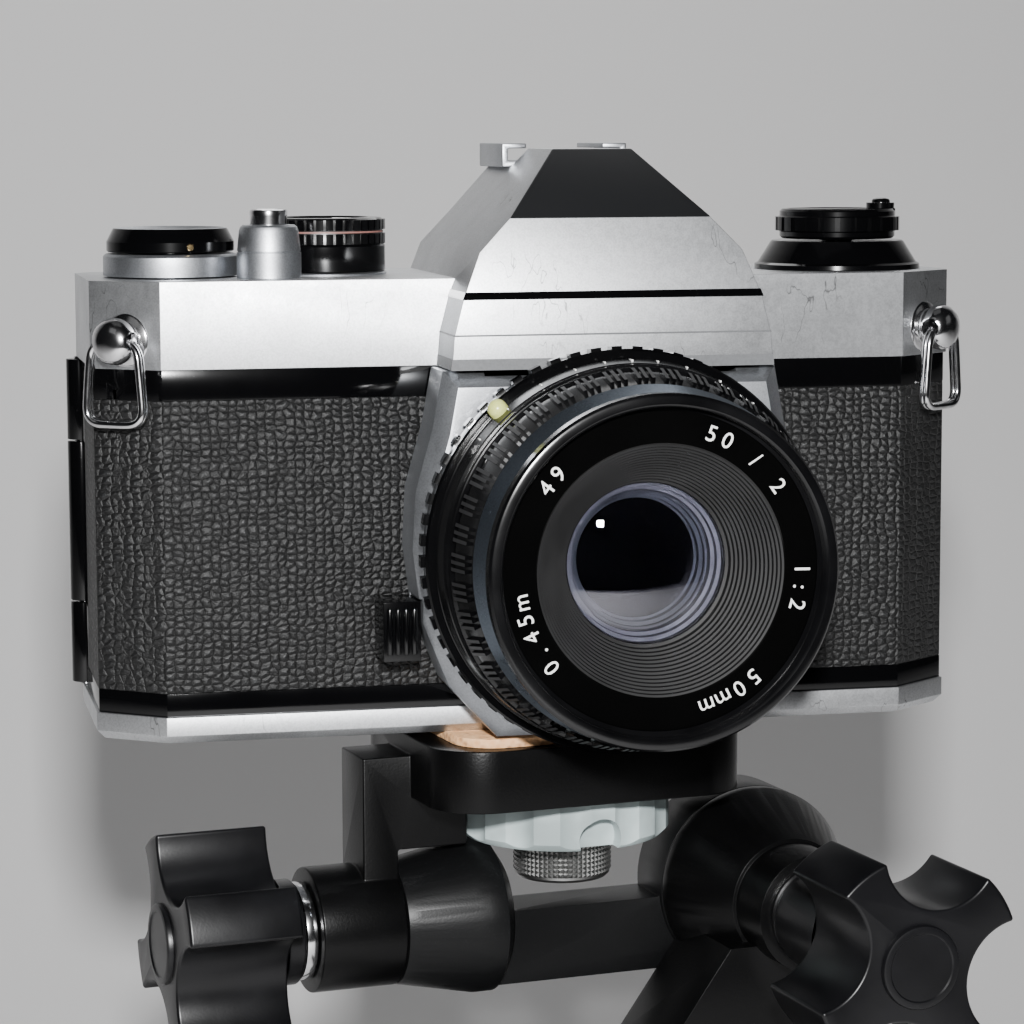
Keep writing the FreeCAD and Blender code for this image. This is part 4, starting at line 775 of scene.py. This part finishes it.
def makeGlass():
    values = frontRing
    floor = forward("front_barrel")[1] - values["filterDepth"]
    seat = floor - values["recess"]
    glass = lensShell("frontGlass", values["glass"] - 0.15, 2.6, seat - 0.2, 1.2, frontCoating)
    dressed(glass, frontCoating, "lens_front", ["lens_elements"], 60.0)
    inner = lensShell("secondGlass", 10.4, 1.6, seat - 4.2, 1.0, clearGlass)
    dressed(inner, clearGlass, "lens_front", (), 60.0)
    # ledges painted bright as lit faces between walls painted grey as shaded faces behind the front glass,
    # then the iris and a dark back
    rings, first, inward, deeper = 6, values["glass"] - 0.8, 0.62, 1.25
    outline = [(values["glass"] - 0.7, seat - 0.4)]
    for k in range(rings):
        radius, height = first - k * inward, seat - 0.9 - k * deeper
        outline += [(radius, height), (radius - 0.08, height - deeper + 0.15)]
    last = outline[-1]
    outline += [(6.0, last[1] - 0.3), (5.6, last[1] - 5.4), (0, last[1] - 5.6)]
    throat = turned("lensThroat", outline, 96)
    edit(throat)
    bpy.ops.mesh.flip_normals()
    rest()
    # walls get the shaded grey and forward-facing ledges the lit grey: painted shade and painted light
    colorFaces(throat, 1, lambda c, n: away(c) > last[0] - 0.1)
    colorFaces(throat, 2, lambda c, n: away(c) > last[0] + 0.1 and abs(n.z) > 0.8)
    settle(throat, lensFrame)
    dressed(throat, [lensBlack, shadedThroatWall, litThroatLedge], "lens_front", (), 25.0)


# lit and shaded copies of one grey: the forward-facing ledges painted light, the walls painted shade
shadedThroatWall = moulded("shadedThroatWall", (0.035, 0.037, 0.04), 0.3, 3000.0, 0.2)
litThroatLedge = moulded("litThroatLedge", (0.22, 0.23, 0.24), 0.3, 3000.0, 0.2)


def makeIndexBead():
    # on the scale ring, close to the aperture ring, 42 degrees left of the top
    height = forward("aperture_ring")[1] + 1.3
    outline = [(1.5, 0), (1.5, 0.9), (1.42, 1.35), (1.15, 1.8), (0.75, 2.1), (0.3, 2.25), (0, 2.28)]
    bead = turned("indexBead", outline, 32, cap=True)
    angle = math.radians(132)
    way = Matrix.Rotation(angle, 4, "Z") @ Matrix.Rotation(math.radians(62), 4, "Y")
    spot = at(29.5 * math.cos(angle), 29.5 * math.sin(angle), height)
    settle(bead, lensFrame @ spot @ way)
    dressed(bead, beadPlastic, "camera", (), 60.0)


beadPlastic = agedBead()
makeApertureRing()
makeLensBarrel()
makeFocusRing()
makeFrontRing()
makeInnerCone()
makeNameRing()
makeGlass()
makeIndexBead()
print("lens made")


# the body's own nodes, its strips, lugs and rings
def makeStrip(name, node, low, high, lift, material, keepFace):
    # a painted band: the node's own skin between two heights, raised a little and given a thickness
    strip = copied(node, name)
    for height, clearing in ((low, "clear_inner"), (high, "clear_outer")):
        edit(strip)
        bpy.ops.mesh.bisect(plane_co=(0, 0, height * mm), plane_no=(0, 0, 1), **{clearing: True})
    rest()
    pickFaces(strip, lambda c, n: not keepFace(c, n))
    bpy.ops.mesh.delete(type="FACE")
    rest()
    alone(strip)
    skin = strip.modifiers.new("skin", "SOLIDIFY")
    skin.thickness = lift * 2 * mm
    skin.offset = 0
    skin.use_even_offset = True
    bpy.ops.object.modifier_apply(modifier="skin")
    return dressed(strip, material, bodyOf(node))


# line is the height of a painted shade band along a groove, seam of a painted shadow band under the hump's
# lip
prismHump = {"depth": 26, "outerHalf": 26.8, "innerHalf": 18, "stripe": (10.6, 11.7), "line": (5.1, 5.35),
             "seam": (0.05, 1.7)}


def makeBody():
    softened("body_casting", "bodyShell", enamel, 0.35)
    softened("top_cover", "topCover", chrome, 1.1, 4)
    softened("base_plate", "basePlate", chrome, 0.6, 3)
    softened("front_casting", "apron", chromeRight, 0.5, 3)
    softened("prism_panel", "prismPanel", panelPaint, 0.2)
    softened("back_door", "backDoor", enamel, 0.6, 3)
    softened("front_coverings", "frontCovering", grain, 0.2)
    softened("door_covering", "doorCovering", grain, 0.2)
    softened("eyepiece", "eyepieceFrame", softBlack, 0.5, 3)
    softened("accessory_shoe", "accessoryShoe", chromeRight, 0.18)
    softened("mount_ring", "mountRing", polished, 0.2)
    softened("battery_cap", "batteryCap", chromeRight, 0.3)
    coverLow = edges("top_cover")[0].z
    front = edges("body_casting")[0].y
    axis = middle("aperture_ring").x * mm

    def humpSkin(centre, normal):
        # the hump's outer front and sides; its inner walls face the lens axis
        reach = abs(centre.x - axis)
        outwards = normal.y < -0.3 or abs(normal.x) > 0.5
        outside = (centre.x - axis) * normal.x > 0 or normal.y < -0.5
        inner = abs(normal.x) > 0.5 and reach < prismHump["innerHalf"] * mm
        near = centre.y < (front + prismHump["depth"]) * mm and reach < prismHump["outerHalf"] * mm
        return abs(normal.z) < 0.5 and near and outwards and outside and not inner
    makeStrip("humpStripe", "top_cover", coverLow + prismHump["stripe"][0],
              coverLow + prismHump["stripe"][1], 0.16, enamel, humpSkin)
    # a dark line along the hump's groove: painted shade
    makeStrip("humpGrooveShade", "top_cover", coverLow + prismHump["line"][0], coverLow + prismHump["line"][1],
              0.1, shadeBandPaint, humpSkin)
    # a dark band under the hump's lower lip: painted shadow
    makeStrip("humpSeamShadow", "top_cover", coverLow + prismHump["seam"][0], coverLow + prismHump["seam"][1],
              0.12, shadeBandPaint, lambda c, n: humpSkin(c, n) and c.y < (front + 2) * mm)


strapLug = {"eyeHeight": 3.4, "eye": 1.5, "outline": ((4.1, 0), (4.1, 0.45), (3.8, 0.7), (2.9, 0.9),
                                                      (2.8, 1.3), (3.4, 2.1), (3.6, 3.3), (3.4, 4.4),
                                                      (2.7, 5.3), (1.5, 5.8), (0, 5.9))}


def makeStrapLug(name, ring, along, stands):
    # a domed stud whose eye lies along the corner bevel, where the ring's top bar runs
    low, high = edges(ring)
    eyePoint = Vector(((low.x + high.x) / 2, (low.y + high.y) / 2, high.z - 1.1))
    along = Vector(along).normalized()
    out = Vector((along.y, -along.x, 0))
    out = out if out.y < 0 else -out
    stud = turned(name, strapLug["outline"], 48, cap=True)
    rest()
    bpy.ops.mesh.primitive_cylinder_add(vertices=32, radius=strapLug["eye"] * mm, depth=0.012,
                                        location=(0, 0, strapLug["eyeHeight"] * mm),
                                        rotation=(math.pi / 2, 0, 0))
    drill = bpy.context.object
    alone(stud)
    eye = stud.modifiers.new("eye", "BOOLEAN")
    eye.object = drill
    bpy.ops.object.modifier_apply(modifier="eye")
    bpy.data.objects.remove(drill)
    rounded(stud, 0.25, 2, 50.0)
    across = along.cross(out)
    foot = (eyePoint - out * strapLug["eyeHeight"]) * mm
    way = Matrix((across, along, out)).transposed().to_4x4()
    settle(stud, Matrix.Translation(foot) @ way)
    dressed(stud, polished, "camera", stands, 50.0)


lugRing = {"wire": 0.62, "topHalf": 3.95, "footHalf": 5.1, "drop": 12.6, "corner": 3.0, "gap": 1.24,
           "turns": 1.86}


def makeStrapRing(name, node, axis):
    # a key-ring style split loop: one wire that goes nearly twice round a rounded triangle
    low, high = edges(node)
    centre = (low + high) / 2
    top = high.z - lugRing["wire"] - 0.5
    corners = [(-lugRing["topHalf"], 0), (lugRing["topHalf"], 0), (lugRing["footHalf"], -lugRing["drop"]),
               (-lugRing["footHalf"], -lugRing["drop"])]
    loop = []
    for k, corner in enumerate(corners):
        here = Vector(corner)
        before = (Vector(corners[k - 1]) - here).normalized()
        after = (Vector(corners[(k + 1) % 4]) - here).normalized()
        for step in range(7):
            share = step / 6
            bend = lugRing["corner"]
            point = here + before * bend * (1 - share) ** 2 + after * bend * share ** 2
            loop.append(point)
    total = int(len(loop) * lugRing["turns"])
    along = Vector(axis).normalized()
    out = Vector((along.y, -along.x, 0))
    rest()
    bpy.ops.curve.primitive_nurbs_path_add(location=(0, 0, 0))
    wire = bpy.context.object
    wire.name = name
    wire.data.splines.clear()
    spline = wire.data.splines.new("NURBS")
    spline.points.add(total - 1)
    start = 10
    for k in range(total):
        u, v = loop[(start + k) % len(loop)]
        side = lugRing["gap"] * (k / total - 0.5)
        point = Vector((centre.x, centre.y, top)) + along * u + out * side + Vector((0, 0, v))
        spline.points[k].co = (*(point * mm), 1)
    spline.order_u = 3
    spline.use_endpoint_u = True
    wire.data.bevel_depth = lugRing["wire"] * mm
    wire.data.bevel_resolution = 4
    wire.data.use_fill_caps = True
    wire.data.resolution_u = 4
    bpy.ops.object.convert(target="MESH")
    dressed(bpy.context.object, polished, bodyOf(node), [node], 50.0)


lensLever = {"ribs": 4, "rib": 0.5, "edge": 1.0}


def makeLensRelease():
    piece = copied("lens_release", "lensRelease")
    rounded(piece, 0.6, 3)
    dressed(piece, controlBlack, "lens_lever", ["lens_release"])
    low, high = edges("lens_release")
    for k in range(lensLever["ribs"]):
        rest()
        bpy.ops.mesh.primitive_cylinder_add(vertices=16, radius=lensLever["rib"] * mm,
                                            depth=(high.z - low.z - 2 * lensLever["edge"]) * mm,
                                            location=(0, 0, 0))
        rib = bpy.context.object
        rib.name = f"leverRib{k}"
        pitch = (high.x - low.x - 2 * lensLever["edge"]) / (lensLever["ribs"] - 1)
        settle(rib, at(low.x + lensLever["edge"] + pitch * k, low.y + 0.1, (low.z + high.z) / 2))
        rounded(rib, 0.25, 2)
        dressed(rib, controlBlack, "lens_lever")


makeBody()
makeStrapLug("strapLugLeft", "strap_ring_left", (-0.79413, 0.60775, 0), ["strap_lugs"])
makeStrapLug("strapLugRight", "strap_ring_right", (-0.79413, -0.60775, 0), ())
makeStrapRing("strapRingLeft", "strap_ring_left", (-0.79413, 0.60775, 0))
makeStrapRing("strapRingRight", "strap_ring_right", (-0.79413, -0.60775, 0))
makeLensRelease()
print("body made")


# the controls on the top cover
counterCap = {"radius": 9.95, "chamfer": 9.0, "glass": 7.9}


def makeCounterCap():
    low, high = edges("counter_cap")
    centre = middle("counter_cap")
    hubTop = edges("wind_lever")[0].z + 3.4
    r, top, glass = counterCap["radius"], high.z, counterCap["glass"]
    outline = [(6.0, low.z), (6.0, hubTop + 0.3), (r - 0.2, hubTop + 0.3), (r, hubTop + 0.5),
               (r, hubTop + 1.9), (r - 0.1, hubTop + 2.05), (counterCap["chamfer"], top - 0.25),
               (counterCap["chamfer"] - 0.2, top - 0.05), (glass + 0.5, top), (glass + 0.1, top - 0.25),
               (glass, top - 0.3), (0, top - 0.3)]
    cap = turned("counterCap", outline, 96, cap=True)
    trim = counterCap["chamfer"] - 0.3
    colorFaces(cap, 1, lambda c, n: c.z > (top - 0.28) * mm and glass + 0.02 < away(c) < trim)
    colorFaces(cap, 2, lambda c, n: n.z > 0.9 and away(c) < glass)
    settle(cap, at(centre.x, centre.y, 0))
    dressed(cap, [controlBlack, chromeRight, dialGlass], "camera", ["counter_cap"], 25.0)
    screw = turned("capScrew", [(0.55, -0.4), (0.55, 0.3), (0.42, 0.42), (0, 0.45)], 24, cap=True)
    way = math.radians(-78)
    settle(screw, at(centre.x + (r - 0.3) * math.cos(way), centre.y + (r - 0.3) * math.sin(way),
                     hubTop + 1.2) @
           Matrix.Rotation(way, 4, "Z") @ Matrix.Rotation(math.radians(90), 4, "Y"))
    dressed(screw, brassPin, "camera")


dialSlit = polishedMetal("dialSlit", (0.07, 0.07, 0.07), 0.35)
dialGlass = blackEnamel("dialGlass", (0.02, 0.02, 0.021), 0.09, 0.1, 0.1)
brassPin = polishedMetal("brassPin", (0.75, 0.55, 0.28), 0.25)


def makeWindLever():
    softened("wind_lever", "windLever", chromeRight, 0.35, 3)


def makeReleaseCollar():
    centre = middle("release_collar")
    low, high = edges("release_collar")
    seam = (low.z + high.z) / 2
    outline = [(3.0, low.z), (4.95, low.z), (5.0, low.z + 0.1), (5.0, seam - 0.12), (4.8, seam - 0.05),
               (4.8, seam + 0.05), (4.93, seam + 0.12), (4.6, high.z - 0.8), (4.4, high.z - 0.3),
               (4.05, high.z), (3.2, high.z), (3.0, high.z - 0.2)]
    collar = turned("releaseCollar", outline, 80, closed=True)
    settle(collar, at(centre.x, centre.y, 0))
    dressed(collar, chromeRight, "camera", ["release_collar"], 25.0)
    low, high = edges("shutter_button")
    top = high.z
    outline = [(2.9, low.z), (2.9, top - 1.0), (2.95, top - 0.5), (2.85, top - 0.1), (2.6, top),
               (2.2, top - 0.12), (1.6, top - 0.4), (1.3, top - 0.5), (1.25, top - 3.8), (0, top - 4.0)]
    button = turned("releaseButton", outline, 64, cap=True)
    settle(button, at(centre.x, centre.y, 0))
    dressed(button, polished, "release", ["shutter_button"], 30.0)


speedDial = {"radius": 9.4, "blocks": 40, "block": 0.4}


def makeSpeedDial():
    centre = middle("shutter_dial")
    low, high = edges("shutter_dial")
    coverTop = edges("rewind_collar")[0].z
    base, top, r = coverTop + 0.6, high.z, speedDial["radius"]
    split = base + 4.2
    outline = [(2.9, low.z), (2.9, base), (r + 0.3, base), (r + 0.35, base + 0.15),
               (r + 0.35, split - 0.3), (r + 0.2, split), (r, split + 0.1), (r, split + 1.7),
               (r - 0.05, split + 1.85), (r - 0.05, split + 2.15), (r, split + 2.3), (r, top - 0.3),
               (r - 0.35, top - 0.05), (r - 0.8, top), (r - 2.3, top), (r - 2.5, top - 0.25),
               (0, top - 0.3)]
    sides = speedDial["blocks"] * 4
    dial = turned("speedDial", outline, sides, cap=True)
    rows = (((split + 0.1) * mm, (split + 1.7) * mm), ((split + 2.3) * mm, (top - 0.3) * mm))

    def block(centre, normal):
        inRow = any(a < centre.z < b for a, b in rows)
        return inRow and sector(centre, sides, 4) != 0 and away(centre) > r - 0.4
    liftFaces(dial, block, speedDial["block"])
    colorFaces(dial, 1, lambda c, n: split * mm < c.z < (top - 0.2) * mm and r - 0.3 < away(c) < r + 0.15)
    settle(dial, at(centre.x, centre.y, 0))
    dressed(dial, [controlBlack, dialSlit], "speed_dial", ["shutter_dial"], 25.0)
    line = turned("dialLine", [(r - 0.3, split + 1.85), (r + 0.06, split + 1.85), (r + 0.06, split + 2.1),
                               (r - 0.3, split + 2.1)],
                  96, closed=True)
    settle(line, at(centre.x, centre.y, 0))
    dressed(line, paleRed, "speed_dial")
    speeds = ("1", "2", "4", "8", "15", "30", "60", "125", "250", "500", "1000")
    for count, speed in enumerate(speeds):
        angle = math.radians(-90 - 120 + 26 * count)
        spot = at(centre.x + 5.2 * math.cos(angle), centre.y + 5.2 * math.sin(angle), top - 0.28)
        mark = numeral(f"speedFigure{count}", speed, 1.5,
                       spot @ Matrix.Rotation(angle + math.pi / 2, 4, "Z"), 0.08)
        dressed(mark, whitePaint, "speed_dial")
    skirt = turned("dialSkirt", [(r - 2, coverTop - 0.02), (r + 0.5, coverTop - 0.02),
                                 (r + 0.55, coverTop + 0.25), (r + 0.2, coverTop + 0.45),
                                 (r - 2, coverTop + 0.45)], 96, closed=True)
    settle(skirt, at(centre.x, centre.y, 0))
    dressed(skirt, chromeRight, "camera")


rewindKnob = {"radius": 9.6, "teeth": 24, "toothHeight": 0.55}


def makeRewindControls():
    centre = middle("rewind_collar")
    low, high = edges("rewind_collar")
    outline = [(3.0, low.z), (13.4, low.z), (13.5, low.z + 0.15), (13.45, low.z + 0.8),
               (12.9, low.z + 1.1), (10.9, high.z - 0.25), (10.6, high.z), (3.0, high.z)]
    collar = turned("rewindCollar", outline, 96, closed=True)
    settle(collar, at(centre.x, centre.y, 0))
    dressed(collar, controlBlack, "camera", ["rewind_collar"], 25.0)
    low, high = edges("rewind_knob")
    bottom = edges("rewind_collar")[1].z + 0.3
    r, top = rewindKnob["radius"], high.z
    crankLow, crankHigh = edges("rewind_crank")
    outline = [(2.5, low.z), (2.5, bottom), (r - 0.6, bottom), (r - 0.2, bottom + 0.4),
               (r - 0.2, bottom + 1.1), (r, bottom + 1.3), (r, top - 1.3), (r - 0.2, top - 1.1),
               (r - 0.2, top - 0.4), (r - 0.6, top), (r - 1.4, top), (r - 1.6, top - 0.15),
               (r - 1.6, crankLow.z - 0.15), (0, crankLow.z - 0.2)]
    sides = rewindKnob["teeth"] * 6
    knob = turned("rewindKnob", outline, sides, cap=True)
    start, end = (bottom + 1.3) * mm, (top - 1.3) * mm

    def tooth(point, normal):
        return start < point.z < end and sector(point, sides, 6) < 4 and away(point) > 9
    liftFaces(knob, tooth, rewindKnob["toothHeight"])
    settle(knob, at(centre.x, centre.y, 0))
    dressed(knob, controlBlack, "rewind", ["rewind_knob"], 25.0)
    crank = copied("rewind_crank", "rewindCrank")
    rounded(crank, 0.25, 2)
    dressed(crank, controlBlack, "crank", ["rewind_crank"])
    pip = turned("crankPip", [(1.5, 0), (1.5, 0.5), (1.3, 0.75), (0.7, 0.9), (0, 0.95)], 32, cap=True)
    settle(pip, at(crankHigh.x - 2.2, centre.y, crankHigh.z - 0.15))
    dressed(pip, controlBlack, "crank", (), 40.0)


makeCounterCap()
makeWindLever()
makeReleaseCollar()
makeSpeedDial()
makeRewindControls()
print("controls made")


# the head and the table tripod
def makeKnurledScrew():
    low, high = edges("camera_screw")
    r, top = 8.0, low.z + 7.0
    outline = [(7.2, low.z), (r - 0.25, low.z + 0.5), (r - 0.25, low.z + 0.9)]
    rows = 7
    for k in range(1, rows + 1):
        outline.append((r - 0.25, low.z + 0.9 + (top - low.z - 1.7) * k / rows))
    outline += [(r - 0.6, top - 0.3), (r - 0.9, top), (3.1, top), (3.1, high.z - 0.5), (2.7, high.z),
                (0, high.z)]
    sides = 60
    screw = turned("mountingScrew", outline, sides, cap=True)

    def grip(c, n):
        return (low.z + 0.9) * mm < c.z < (top - 0.8) * mm and away(c) > 7
    pickFaces(screw, grip)
    bpy.ops.mesh.poke(offset=0.32 * mm)
    rest()
    dressed(screw, screwMetal, "mounting_screw", ["camera_screw"], 15.0)


knobCap = {"radius": 6.4, "height": 0.9}


def makeKnobCap(name, node, way, axisPoint):
    # a shallow disc on a star knob's outer face
    reach = max(way.dot(corner.co / mm - axisPoint) for corner in frame["nodes"][node].data.vertices)
    radius, height = knobCap["radius"], knobCap["height"]
    disc = turned(name, [(radius, -0.4), (radius, height - 0.4), (radius - 0.15, height - 0.12),
                         (radius - 0.5, height), (radius - 1.1, height), (radius - 1.3, height - 0.2),
                         (0, height - 0.1)], 64,
                  cap=True)
    turn = way.to_track_quat("Z", "Y").to_matrix().to_4x4()
    settle(disc, Matrix.Translation((axisPoint + way * reach) * mm) @ turn)
    dressed(disc, knobPlastic, bodyOf(node))


def makeHead():
    softened("platform", "platformCasting", castBlack, 1.1, 3, 40.0, 40.0)
    softened("tilt_housing", "tiltHousing", castGrey, 0.6, 3, 40.0, 40.0)
    softened("pan_housing", "panHousing", castBlack, 0.8, 3, 40.0, 40.0)
    softened("pan_base", "panBase", castBlack, 0.6, 3)
    softened("cork_pad", "corkPad", cork, 0.25)
    softened("lock_wheel", "lockWheel", greyPlastic, 0.6, 3, 30.0)
    softened("tilt_shaft", "tiltShaft", polished, 0.25)
    softened("side_shaft", "sideShaft", polished, 0.25)
    for node, name in (("tilt_knob", "tiltKnob"), ("side_knob", "sideKnob"), ("pan_knob", "panKnob")):
        softened(node, name, knobPlastic, 1.2, 4, 40.0, 40.0)
    makeKnobCap("sideKnobCap", "side_knob", headAim @ Vector((0, -1, 0)), headAim @ Vector((31.2, 0, 120)))
    makeKnobCap("tiltKnobCap", "tilt_knob", headAim @ Vector((-1, 0, 0)), headAim @ Vector((0, 0, 117.5)))
    makeKnurledScrew()


def makeTripod():
    softened("crown", "tripodCrown", castBlack, 0.8, 3)
    for k in (1, 2, 3):
        softened(f"leg_{k}", f"tripodLeg{k}", castGrey, 0.8, 3)
        softened(f"foot_{k}", f"tripodFoot{k}", softBlack, 1.0, 3)


makeHead()
makeTripod()
print("tripod made")


# CAD nodes that keep their own shape
kept = {
    "hinge_pin": polished, "leg_pins": polished, "rewind_release": polished,
    "door_latch": polished, "pressure_plate": polished, "viewfinder_optics": clearGlass,
    "take_up_spool": softBlack, "sprocket": softBlack, "shutter_curtain": cloth,
    "reflex_mirror": mirrorSilver, "iris_blades": lensBlack,
}
for node, material in kept.items():
    thing = frame["nodes"][node]
    thing.data.materials.clear()
    thing.data.materials.append(material)
    alone(thing)
    bpy.ops.object.shade_smooth_by_angle(angle=math.radians(30))
rest()
print("kept nodes dressed")
